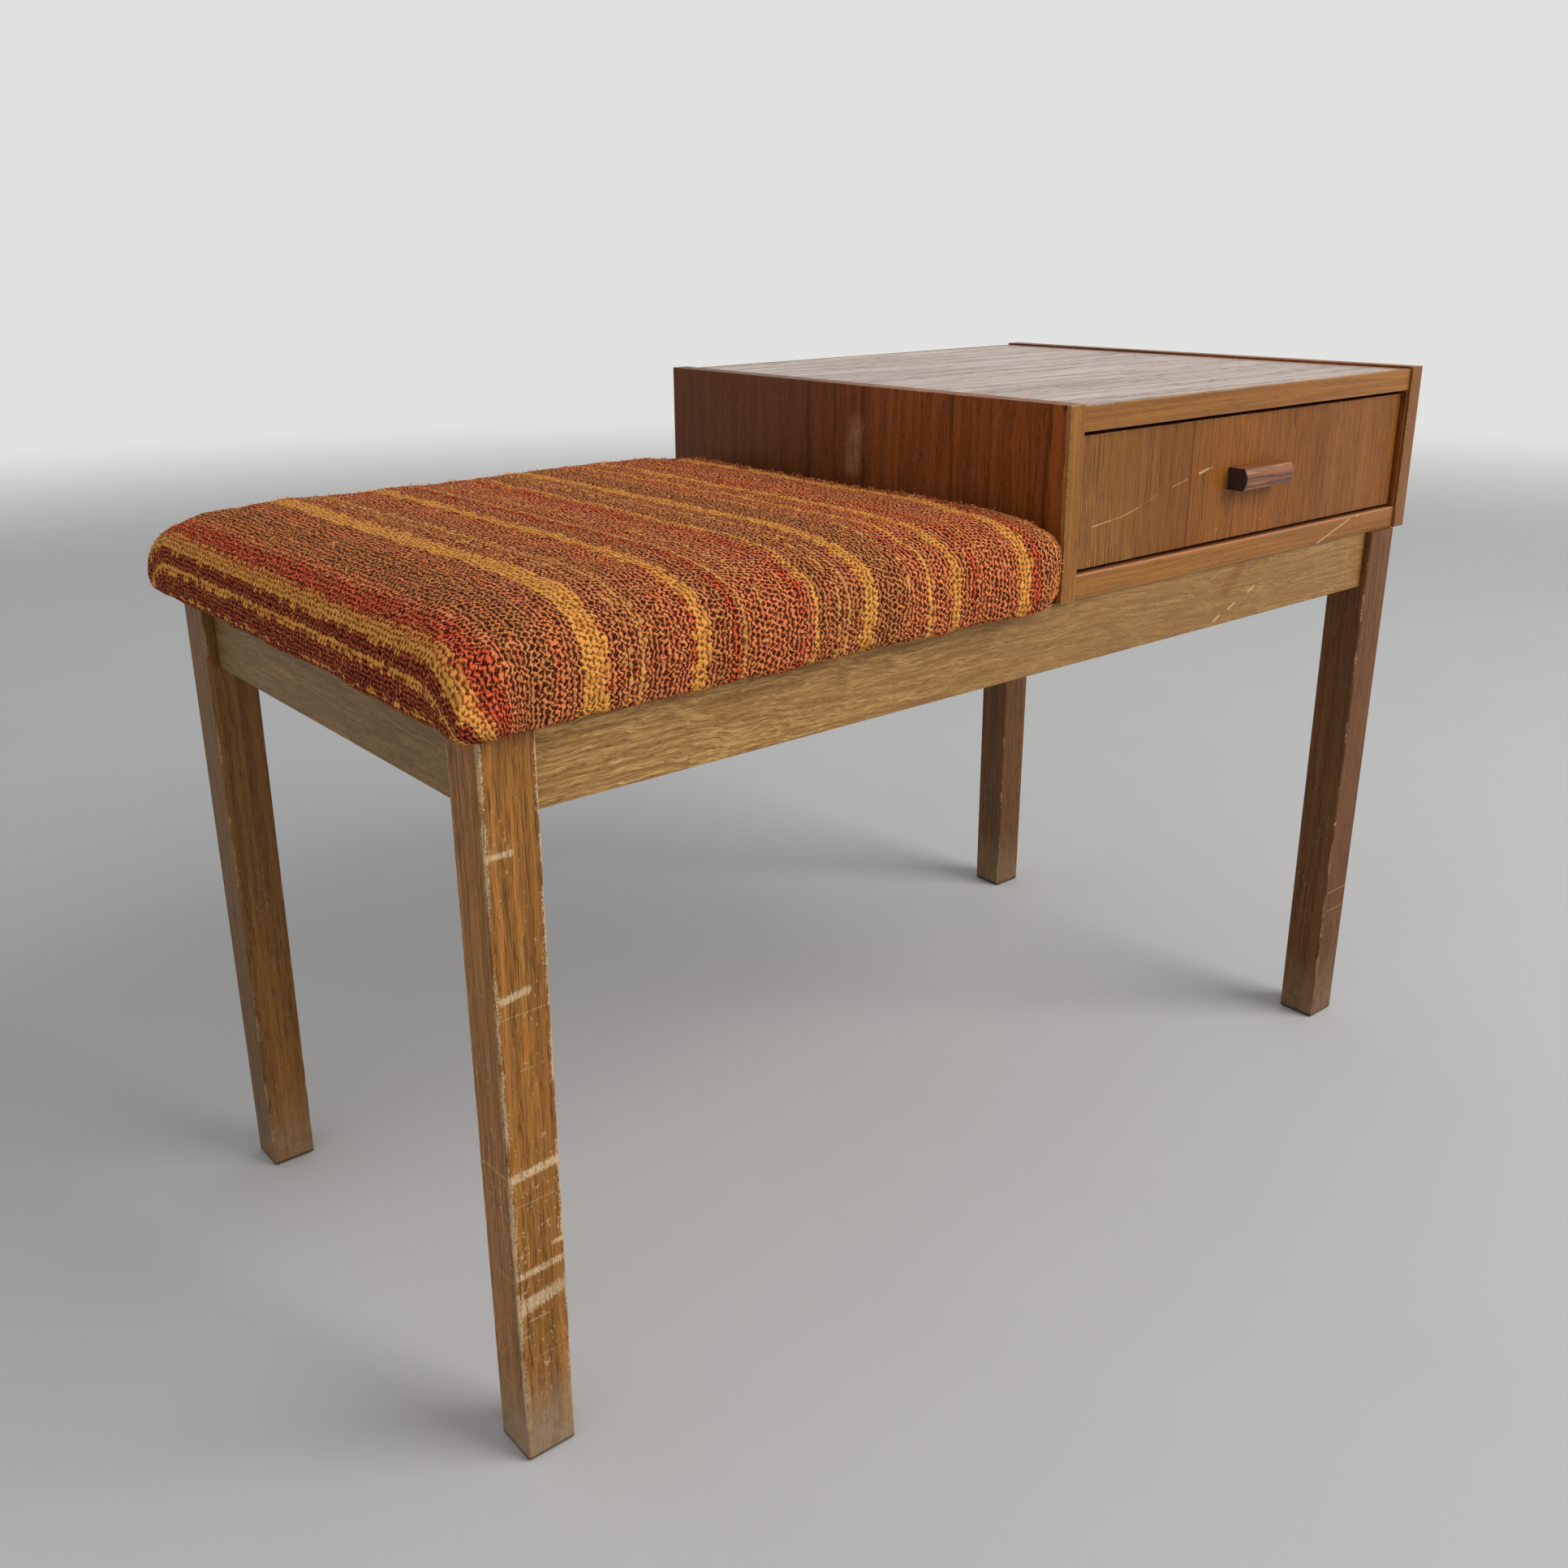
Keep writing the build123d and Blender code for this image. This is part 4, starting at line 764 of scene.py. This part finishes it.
def fuzz_finish(yarns):
    """Loose fibres, in a paler tone of the yarn that they come from."""
    finish = Finish("cover_fuzz", 0.05)
    u, v = woven_place(finish)
    pale = finish.chance(finish.floor(u), finish.floor(v), 4.0)
    colour = finish.mix(0.2 + 0.4 * pale, stripe_colour(finish, u, yarns), yarns.peach)
    return finish.close(colour, 0.85 + 0.1 * pale)


# ---- the seat pad, in millimetres ----
RIM = 38.4  # the rounded edge reaches this far in
WIDEST = 440.2  # height at which the cover is widest
# height plus the way in, and the run of cloth from the flat top to there
SECTION = ((WIDEST, 59.5), (456.5, 45.1), (466.5, 37.9), (475.1, 30.8),
           (486.3, 22.5), (498.9, 12.5), (513.5, 0.0))
TURN_HEIGHT = 20.0
LOWER_STRETCH = 1.05
UNDERSIDE, UNDER_EDGE = 421.0, 8.0
HELD_LOW, HELD_END = 2.5, 4.0  # the cloth is held this near the underside and the cabinet
SINK = 0.3  # most that it may sink
SLIM = 1.0  # taken off before it swells
MERGE = 0.02
PAD_MIDDLE = 440.0
CROWN_ROOM = 1.5  # the crown may pass the solid by this much
CUT_BELOW, CUT_ABOVE = 5.0, 2.0  # how far the cut of the open underside runs past its faces
LUMP, PUCKER = 34.0, 140.0  # waves of unevenness in a metre
FOLD = 12.0  # how far a corner is drawn out
FOLD_WIDTH, FOLD_RUN, FOLD_LENGTH = 36.0, 28.0, 40.0
FOLD_TOP, FOLD_HEIGHT = 472.0, 50.0
TURNED_IN, TURNED_SIDE, TURNED_END = 52.0, 48.5, 19.7  # what the cover leaves open below
FIBRE_RADIUS, FIBRE_TAPER, FIBRE_ROOT = 0.34, 0.04, 0.5
FIBRE_STEPS, FIBRE_SIDES = 5, 3
FIBRE_END, FIBRE_LOW = -3.0, 419.0  # none grow nearer to the cabinet or lower


def read(mesh, kind="co"):
    """The places or the normals of a mesh's points."""
    values = np.zeros(len(mesh.vertices) * 3)
    mesh.vertices.foreach_get(kind, values)
    return values.reshape(-1, 3)


def write(mesh, points):
    mesh.vertices.foreach_set("co", points.ravel())
    mesh.update()


def lay_cloth(mesh, low, high):
    """Stores where each point lies on the flat cloth, in millimetres, as the attribute weave."""
    points = read(mesh) / MM
    inner_low = np.array([low[0] + RIM, low[1] + RIM])
    inner_high = np.array([high[0] + 1.0, high[1] - RIM])
    held = np.clip(points[:, :2], inner_low, inner_high)
    away = points[:, :2] - held
    far = np.linalg.norm(away, axis=1)
    outward = away / np.maximum(far, 1e-6)[:, None]
    inset = RIM - far
    level = points[:, 2]
    turned = np.maximum(inset, 0.0) * np.clip((level - WIDEST) / TURN_HEIGHT, 0.0, 1.0)
    run = np.interp(level + turned, *zip(*SECTION))
    under = np.maximum(inset - UNDER_EDGE, 0.0) * (level < UNDERSIDE)
    below = SECTION[0][1] + (WIDEST - level) * LOWER_STRETCH + under
    run = np.where(level < WIDEST, below, run)
    flat = held + outward * np.where(far > 1e-6, run, 0.0)[:, None]
    values = np.column_stack([flat, level]).astype(np.float32)
    layer = mesh.attributes.new("weave", "FLOAT_VECTOR", "POINT")
    layer.data.foreach_set("vector", values.ravel())


def apply(piece, kind, **settings):
    """Makes a modifier part of the piece's mesh."""
    modifier = piece.modifiers.new(kind, kind)
    for name, value in settings.items():
        setattr(modifier, name, value)
    bpy.context.view_layer.update()
    shown = piece.evaluated_get(bpy.context.evaluated_depsgraph_get())
    mesh = bpy.data.meshes.new_from_object(shown)
    piece.modifiers.clear()
    old = piece.data
    piece.data = mesh
    bpy.data.meshes.remove(old)


def inflate(piece, pad, low, high):
    """Lets the cover swell over its foam, held at the underside and at the cabinet."""
    start = read(piece.data)
    held = piece.vertex_groups.new(name="held")
    bottom = [i for i, point in enumerate(start)
              if point[2] < (low[2] + HELD_LOW) * MM or point[0] > (high[0] - HELD_END) * MM]
    held.add(bottom, 1.0, "REPLACE")
    cloth = piece.modifiers.new("Cloth", "CLOTH")
    stiffness = {"tension_stiffness": 18, "compression_stiffness": 18, "shear_stiffness": 8,
                 "bending_stiffness": 0.6}
    settings = {"quality": 6, "mass": 0.3, **stiffness, "use_pressure": True,
                "uniform_pressure_force": pad.pressure, "vertex_group_mass": "held"}
    for name, value in settings.items():
        setattr(cloth.settings, name, value)
    cloth.settings.effector_weights.gravity = 0.0
    cloth.point_cache.frame_start = 1
    cloth.point_cache.frame_end = pad.steps
    scene = bpy.context.scene
    for step in range(1, pad.steps + 1):
        scene.frame_set(step)
    shown = piece.evaluated_get(bpy.context.evaluated_depsgraph_get())
    moved = read(shown.to_mesh()) - start
    shown.to_mesh_clear()
    piece.modifiers.clear()
    piece.vertex_groups.clear()
    scene.frame_set(1)
    normals = read(piece.data, "normal")
    sunk = np.minimum((moved * normals).sum(axis=1) + SINK * MM, 0.0)
    moved = moved - normals * sunk[:, None]
    far = np.linalg.norm(moved, axis=1)
    eased = pad.swell * (1 - np.exp(-far / pad.swell))
    grown = start + moved * (eased / np.maximum(far, 1e-9))[:, None]
    for axis, anchor in ((0, high[0] * MM), (1, 0.0)):
        from_anchor = grown[:, axis] - anchor
        share = abs(low[axis] * MM - anchor) / np.abs(from_anchor).max()
        grown[:, axis] = anchor + from_anchor * share
    write(piece.data, grown)


def fold_corners(points, low, high):
    """Draws the cover's free corners out over the legs, where it is folded tight."""
    def beside(gap):
        return np.clip((FOLD_WIDTH - gap) / FOLD_RUN, 0.0, 1.0) ** 1.5

    def along(gap):
        return np.exp(-gap ** 2 / (2 * FOLD_LENGTH ** 2))

    for side, inward in ((low[1], 1.0), (high[1], -1.0)):
        from_end = points[:, 0] / MM - low[0]
        from_side = (points[:, 1] / MM - side) * inward
        drawn = FOLD * MM * np.clip((FOLD_TOP - points[:, 2] / MM) / FOLD_HEIGHT, 0.0, 1.0)
        points[:, 0] -= drawn * beside(from_side) * along(from_end)
        points[:, 1] -= drawn * beside(from_end) * along(from_side) * inward
    return points


def add_fuzz(mesh, count, reach):
    """Adds curled fibres that stand out of the cover, each a thin closed strand rooted in it."""
    draw = np.random.default_rng(7)
    shape = bmesh.new()
    shape.from_mesh(mesh)
    layer = shape.verts.layers.float_vector["weave"]
    turns = [math.tau * k / FIBRE_SIDES for k in range(FIBRE_SIDES)]
    roots = [f for f in shape.faces if f.normal.z > -0.6
             and f.calc_center_median().x < FIBRE_END * MM
             and f.calc_center_median().z > FIBRE_LOW * MM]
    strands = []
    for pick in draw.choice(len(roots), count, replace=False):
        face = roots[pick]
        normal, woven = face.normal.copy(), face.verts[0][layer].copy()
        root = face.calc_center_median() - normal * FIBRE_ROOT * MM
        side = normal.cross(Vector(draw.normal(size=3))).normalized()
        turn = normal.cross(side)
        length, curl = draw.uniform(0.6, 1.0) * reach, draw.uniform(0.9, 2.6)
        rings = []
        for step in range(FIBRE_STEPS):
            angle = curl * step / (FIBRE_STEPS - 1)
            rise, lean = math.cos(angle), math.sin(angle)
            bow = (normal * lean + side * (1 - rise)) * (length / curl)
            radius = (FIBRE_RADIUS - FIBRE_TAPER * step) * MM
            across = (normal * rise + side * lean).cross(turn) * radius
            along = turn * radius
            ring = [shape.verts.new(root + bow + across * math.cos(k) + along * math.sin(k))
                    for k in turns]
            for point in ring:
                point[layer] = woven
            rings.append(ring)
        strands += [shape.faces.new(rings[0]), shape.faces.new(rings[-1])]
        strands += [shape.faces.new((a[k], a[k - 1], b[k - 1], b[k]))
                    for a, b in zip(rings, rings[1:]) for k in range(FIBRE_SIDES)]
    bmesh.ops.recalc_face_normals(shape, faces=strands)
    for face in strands:
        face.material_index = 1
    shape.to_mesh(mesh)
    shape.free()


def new_object(name, shape):
    """An object in the scene with the shape of that bmesh."""
    mesh = bpy.data.meshes.new(name)
    shape.to_mesh(mesh)
    shape.free()
    made = bpy.data.objects.new(name, mesh)
    bpy.context.scene.collection.objects.link(made)
    return made


class BENCH_OT_seat_pad(bpy.types.Operator):
    """Makes the seat pad: foam under a striped woven cover, drawn in under the board"""
    bl_idname = "bench.seat_pad"
    bl_label = "Seat pad"

    def execute(self, context):
        pad = context.scene.bench_pad
        low, high = box_mm("seat_cover")
        piece = self.closed_cover((low[0] + high[0]) / 2)
        apply(piece, "REMESH", mode="VOXEL", voxel_size=pad.voxel)
        mesh = piece.data
        write(mesh, read(mesh) - read(mesh, "normal") * SLIM * MM)
        inflate(piece, pad, low, high)
        apply(piece, "SUBSURF", levels=1, render_levels=1)
        mesh = piece.data
        points, normals = read(mesh), read(mesh, "normal")
        uneven = np.array([noise.noise(Vector(p) * LUMP) * 1.5 + noise.noise(Vector(p) * PUCKER)
                           for p in points])
        points = fold_corners(points + normals * (uneven * pad.slack)[:, None], low, high)
        top = high[2] + CROWN_ROOM
        write(mesh, np.clip(points, np.array(low) * MM, np.array([*high[:2], top]) * MM))
        self.pocket(piece, low, high)
        lay_cloth(piece.data, low, high)
        piece.data.materials.clear()
        for finish in (cover_finish, fuzz_finish):
            piece.data.materials.append(finish(context.scene.bench_yarns))
        add_fuzz(piece.data, pad.fibres, pad.fibre)
        piece.data.shade_smooth()
        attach(piece, "bench")
        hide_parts("seat_cover", "seat_foam")
        return {"FINISHED"}

    def closed_cover(self, middle_x):
        """The outer shape of the cover, closed below."""
        shape = bmesh.new()
        shape.from_mesh(NODES["seat_cover"].data)
        bmesh.ops.remove_doubles(shape, verts=shape.verts, dist=MERGE * MM)
        middle = Vector((middle_x, 0.0, PAD_MIDDLE)) * MM
        inner = [f for f in shape.faces if f.normal.dot(f.calc_center_median() - middle) < 0]
        bmesh.ops.delete(shape, geom=inner, context="FACES")
        bmesh.ops.holes_fill(shape, edges=[e for e in shape.edges if e.is_boundary], sides=0)
        bmesh.ops.recalc_face_normals(shape, faces=shape.faces)
        return new_object("seat_pad", shape)

    def pocket(self, piece, low, high):
        """Takes the board's room and the open middle of the underside out of the pad."""
        board_low, board_high = box_mm("seat_board")
        open_low = (low[0] + TURNED_IN, low[1] + TURNED_SIDE, low[2] - CUT_BELOW)
        open_high = (high[0] - TURNED_END, high[1] - TURNED_SIDE, board_low[2] + CUT_ABOVE)
        for a, b in ((board_low, board_high), (open_low, open_high)):
            shape = bmesh.new()
            size = [(q - p) * MM for p, q in zip(a, b)]
            centre = [(p + q) / 2 * MM for p, q in zip(a, b)]
            place = Matrix.Translation(centre) @ Matrix.Diagonal((*size, 1.0))
            bmesh.ops.create_cube(shape, size=1.0, matrix=place)
            room = new_object("room", shape)
            apply(piece, "BOOLEAN", operation="DIFFERENCE", object=room, solver="EXACT")
            mesh = room.data
            bpy.data.objects.remove(room)
            bpy.data.meshes.remove(mesh)


# ---- the stand: marks as start, end, width and strength on a face, in millimetres ----
LEFT_LEG_FRONT = (
    ((-399.0, 358.5), (-385.0, 358.5), 4.0, 0.9), ((-395.0, 282.0), (-381.0, 284.0), 6.0, 1.0),
    ((-400.0, 272.0), (-368.0, 272.5), 0.7, 0.6), ((-388.0, 241.0), (-380.0, 241.0), 1.0, 0.4),
    ((-377.5, 199.5), (-376.5, 200.5), 3.0, 0.5), ((-400.0, 180.0), (-369.0, 182.5), 7.0, 1.0),
    ((-399.0, 163.0), (-372.0, 163.5), 1.0, 0.4), ((-392.2, 147.0), (-391.8, 147.2), 1.8, 0.8),
    ((-381.2, 147.0), (-380.8, 147.2), 1.8, 0.8), ((-374.0, 133.0), (-369.0, 133.5), 4.0, 1.0),
    ((-396.0, 133.0), (-389.0, 133.0), 1.0, 0.5), ((-400.0, 120.0), (-368.5, 122.0), 5.5, 1.0),
    ((-397.0, 99.5), (-373.0, 104.5), 11.0, 0.95), ((-396.0, 104.0), (-380.0, 105.0), 5.0, 0.9),
    ((-392.0, 91.0), (-380.0, 91.0), 1.2, 0.6), ((-395.0, 82.0), (-390.0, 82.0), 1.4, 0.5),
    ((-398.0, 66.0), (-372.0, 66.5), 0.8, 0.35),
)
LEFT_LEG_SIDE = (
    ((-195.0, 181.0), (-168.0, 180.0), 2.2, 0.4), ((-195.0, 117.0), (-172.0, 116.0), 1.8, 0.35),
    ((-195.0, 44.0), (-170.0, 43.0), 1.4, 0.3),
)
RIGHT_LEG_FRONT = (
    ((372.0, 115.0), (398.0, 115.5), 1.2, 0.5), ((374.0, 98.0), (396.0, 98.0), 1.2, 0.5),
    ((369.5, 176.5), (370.0, 178.0), 2.2, 0.7),
)
RAIL_FRONT = (
    ((218.5, 392.8), (225.0, 395.8), 2.6, 1.0), ((196.0, 384.0), (202.5, 387.0), 2.4, 1.0),
    ((179.5, 377.8), (185.5, 380.5), 2.2, 1.0),
)


class BENCH_OT_legs(bpy.types.Operator):
    """Finishes the four oak legs, each with its own grain and wear"""
    bl_idname = "bench.legs"
    bl_label = "Legs"

    def execute(self, context):
        # the last three legs take darker copies of the leg colour: painted shade, as they stand in
        # the shade of the seat and the cabinet
        legs = (("leg_front_left", LEFT_LEG_FRONT, LEFT_LEG_SIDE, None),
                ("leg_front_right", RIGHT_LEG_FRONT, (), tone(132, 82, 42)),
                ("leg_back_left", (), (), tone(150, 102, 46)),
                ("leg_back_right", (), (), tone(130, 87, 48)))
        for seed, (name, front, side, shaded_leg_tone) in enumerate(legs, 1):
            look = leg_finish(name, context.scene.bench_woods, float(seed), front, side, shaded_leg_tone)
            dress(look, name)
        return {"FINISHED"}


class BENCH_OT_rails(bpy.types.Operator):
    """Finishes the rails and what joins them"""
    bl_idname = "bench.rails"
    bl_label = "Rails"

    def execute(self, context):
        woods = context.scene.bench_woods
        # seat_end_rail takes a darker colour of its own: painted shadow of the seat pad above it
        rails = (("front_rail", ALONG_X, 1.0, RAIL_FRONT, 0.03), ("back_rail", ALONG_X, 2.0),
                 ("seat_end_rail", ALONG_Y, 3.0, (), 0.0, tone(174, 136, 82)),
                 ("cabinet_end_rail", ALONG_Y, 4.0))
        for name, *look in rails:
            dress(rail_finish(name, woods, *look), name)
        dress(beech_finish("middle_rail_beech", woods, ALONG_Y, 5.0), "middle_rail")
        dress(beech_finish("glue_block_beech", woods, ALONG_Z, 6.0), "glue_blocks")
        dress(beech_finish("dowel_beech", woods, ALONG_X, 7.0), "frame_dowels")
        screws = ("block_screws", "seat_screws", "cabinet_screws")
        dress(steel_finish("screw_steel", woods.steel), *screws)
        return {"FINISHED"}


class BENCH_OT_seat_board(bpy.types.Operator):
    """Finishes the seat board and the staples under it"""
    bl_idname = "bench.seat_board"
    bl_label = "Seat board"

    def execute(self, context):
        woods = context.scene.bench_woods
        chipboard = flake_finish("seat_board_chipboard", woods.board_light, woods.board_dark)
        dress(chipboard, "seat_board")
        dress(steel_finish("staple_steel", woods.steel), "cover_staples")
        return {"FINISHED"}


# ---- the cabinet: streaks as place, width and strength, in millimetres ----
LEFT_STREAKS = ((45.0, 3.5, 0.5), (17.0, 3.0, 0.45), (-12.0, 3.5, 0.55), (-97.0, 2.5, 0.5),
                (-130.0, 2.0, 0.4), (-177.0, 3.0, 0.5))
RIGHT_STREAKS = ((80.0, 3.0, 0.5), (-60.0, 4.0, 0.6))
FLOOR_SCUFFS = (((298.0, 417.5), (339.3, 430.5), 1.5, 0.95),
                ((350.0, 431.5), (353.0, 432.5), 2.2, 0.9))


class BENCH_OT_cabinet(bpy.types.Operator):
    """Finishes the cabinet's panels, boards, lippings, back and runners"""
    bl_idname = "bench.cabinet"
    bl_label = "Cabinet"

    def execute(self, context):
        woods = context.scene.bench_woods
        pieces = ((panel_finish, "cabinet_left_panel", 1.0, LEFT_STREAKS),
                  (panel_finish, "cabinet_right_panel", 2.0, RIGHT_STREAKS),
                  (lipping_finish, "left_panel_lipping", ALONG_Z, 1.0),
                  (lipping_finish, "right_panel_lipping", ALONG_Z, 2.0, (), tone(138, 90, 46)),
                  (lipping_finish, "top_lipping", ALONG_X, 3.0),
                  (lipping_finish, "floor_lipping", ALONG_X, 4.0, FLOOR_SCUFFS),
                  (top_finish, "cabinet_top", 1.0, tone(180, 122, 70)),
                  (top_finish, "cabinet_floor", 2.0, tone(150, 98, 66)))
        for make, name, *look in pieces:
            dress(make(name, woods, *look), name)
        dress(hardboard_finish("back_hardboard", woods.hardboard), "cabinet_back")
        dress(beech_finish("cabinet_dowel_beech", woods, ALONG_X, 8.0), "cabinet_dowels")
        runner = beech_finish("runner_beech", woods, ALONG_Y, 9.0)
        dress(runner, "runner_left", "runner_right")
        dress(steel_finish("fixing_steel", woods.steel), "back_nails", "runner_screws")
        return {"FINISHED"}


class BENCH_OT_drawer(bpy.types.Operator):
    """Finishes the drawer: its front, box, nails and handle"""
    bl_idname = "bench.drawer"
    bl_label = "Drawer"

    def execute(self, context):
        woods = context.scene.bench_woods
        dress(drawer_front_finish("drawer_front", woods, 1.0), "drawer_front")
        sides = beech_finish("drawer_side_beech", woods, ALONG_Y, 11.0)
        dress(sides, "drawer_side_left", "drawer_side_right")
        dress(beech_finish("drawer_back_beech", woods, ALONG_X, 12.0), "drawer_back")
        dress(hardboard_finish("bottom_hardboard", woods.hardboard), "drawer_bottom")
        dress(steel_finish("drawer_steel", woods.steel), "drawer_nails", "handle_screws")
        dress(handle_finish("drawer_handle", woods), "drawer_handle")
        return {"FINISHED"}


# ---- the stage ----
LAMP_SIZE = 2.4
LAMP_AIM = Vector((0.0, 0.0, 0.35))
SENSOR = 36.0  # millimetres
SKY_LIGHT = (0.96, 1.0, 1.05)  # a little blue
FADE_START = 2400.0  # millimetres from the middle at which the floor begins to fade


class BENCH_OT_stage(bpy.types.Operator):
    """Sets up the pale floor, the lamps and the camera"""
    bl_idname = "bench.stage"
    bl_label = "Stage"

    def execute(self, context):
        stage = context.scene.bench_stage
        self.floor(stage)
        self.air(context, stage)
        self.lamp("key_lamp", (1.7, -2.7, 2.6), stage.key)
        self.lamp("fill_lamp", (-2.4, -1.2, 1.8), stage.fill)
        self.camera(context, stage)
        context.scene.view_settings.view_transform = "Standard"
        return {"FINISHED"}

    def floor(self, stage):
        shape = bmesh.new()
        bmesh.ops.create_circle(shape, cap_ends=True, segments=96, radius=stage.reach)
        floor = new_object("floor", shape)
        finish = Finish("floor_paint", 0.2)
        x, y = finish.place()[:2]
        away = (x * x + y * y) ** 0.5
        cloud = finish.noise((x * 0.004, y * 0.004, 0.0), 4.0, 0.6)
        dark = [c * 0.75 for c in stage.floor]
        colour = finish.mix((cloud - 0.5) * 0.25 + 0.06, stage.floor, dark)
        fade = finish.smooth(away, FADE_START, stage.reach / MM * 0.96)
        clear = finish.node("ShaderNodeBsdfTransparent")
        paint = finish.surface(colour, 0.85)
        both = finish.node("ShaderNodeMixShader", {}, {0: fade, 1: paint, 2: clear})
        floor.data.materials.append(finish.shown(both))

    def air(self, context, stage):
        world = bpy.data.worlds.new("air")
        context.scene.world = world
        world.use_nodes = True
        sky = Nodes(world.node_tree)
        seen = sky.node("ShaderNodeBackground", {}, {0: opaque(stage.air)})
        lit = sky.node("ShaderNodeBackground", {}, {0: opaque(SKY_LIGHT), 1: stage.ambient})
        rays = [sky.node("ShaderNodeLightPath", {}, {}, f"Is {ray} Ray")
                for ray in ("Camera", "Glossy", "Transmission")]
        direct = sky.most(sky.most(rays[0], rays[1]), rays[2])
        both = sky.node("ShaderNodeMixShader", {}, {0: direct, 1: lit, 2: seen})
        sky.node("ShaderNodeOutputWorld", {}, {0: both})

    def lamp(self, name, place, power):
        data = bpy.data.lights.new(name, "AREA")
        data.shape = "SQUARE"
        data.size = LAMP_SIZE
        data.energy = power
        turn = (LAMP_AIM - Vector(place)).to_track_quat("-Z", "Y").to_matrix().to_4x4()
        self.stand(name, data, Matrix.Translation(place) @ turn)

    def camera(self, context, stage):
        data = bpy.data.cameras.new("camera")
        data.lens = stage.lens
        data.sensor_width = SENSOR
        data.shift_x, data.shift_y = stage.shift
        data.clip_start = 0.05
        yaw, pitch, roll = stage.turn
        turn = (Matrix.Rotation(-yaw, 4, "Z") @ Matrix.Rotation(math.pi / 2 + pitch, 4, "X")
                @ Matrix.Rotation(roll, 4, "Z"))
        place = Matrix.Translation(stage.eye) @ turn
        context.scene.camera = self.stand("camera", data, place)

    def stand(self, name, data, place):
        """A lamp or a camera in the scene, at that place."""
        made = bpy.data.objects.new(name, data)
        made.matrix_world = place
        bpy.context.scene.collection.objects.link(made)
        return made


class BENCH_PT_maker(bpy.types.Panel):
    """Lists the bench's pieces"""
    bl_idname = "BENCH_PT_maker"
    bl_label = "Telephone bench"
    bl_space_type = "VIEW_3D"
    bl_region_type = "UI"
    bl_category = "Bench"

    def draw(self, context):
        for piece in PIECES:
            self.layout.operator(piece.bl_idname)


GROUPS = {"bench_woods": BenchWoods, "bench_yarns": BenchYarns, "bench_pad": BenchPad,
          "bench_stage": BenchStage}
PIECES = (BENCH_OT_legs, BENCH_OT_rails, BENCH_OT_seat_board, BENCH_OT_seat_pad, BENCH_OT_cabinet,
          BENCH_OT_drawer, BENCH_OT_stage)


def register():
    for item in (*GROUPS.values(), *PIECES, BENCH_PT_maker):
        bpy.utils.register_class(item)
    for name, group in GROUPS.items():
        setattr(bpy.types.Scene, name, PointerProperty(type=group))


def unregister():
    for name in GROUPS:
        delattr(bpy.types.Scene, name)
    for item in reversed((*GROUPS.values(), *PIECES, BENCH_PT_maker)):
        bpy.utils.unregister_class(item)


def main():
    register()
    bpy.ops.bench.legs()
    bpy.ops.bench.rails()
    bpy.ops.bench.seat_board()
    bpy.ops.bench.seat_pad()
    bpy.ops.bench.cabinet()
    bpy.ops.bench.drawer()
    bpy.ops.bench.stage()


if __name__ == "__main__":
    main()
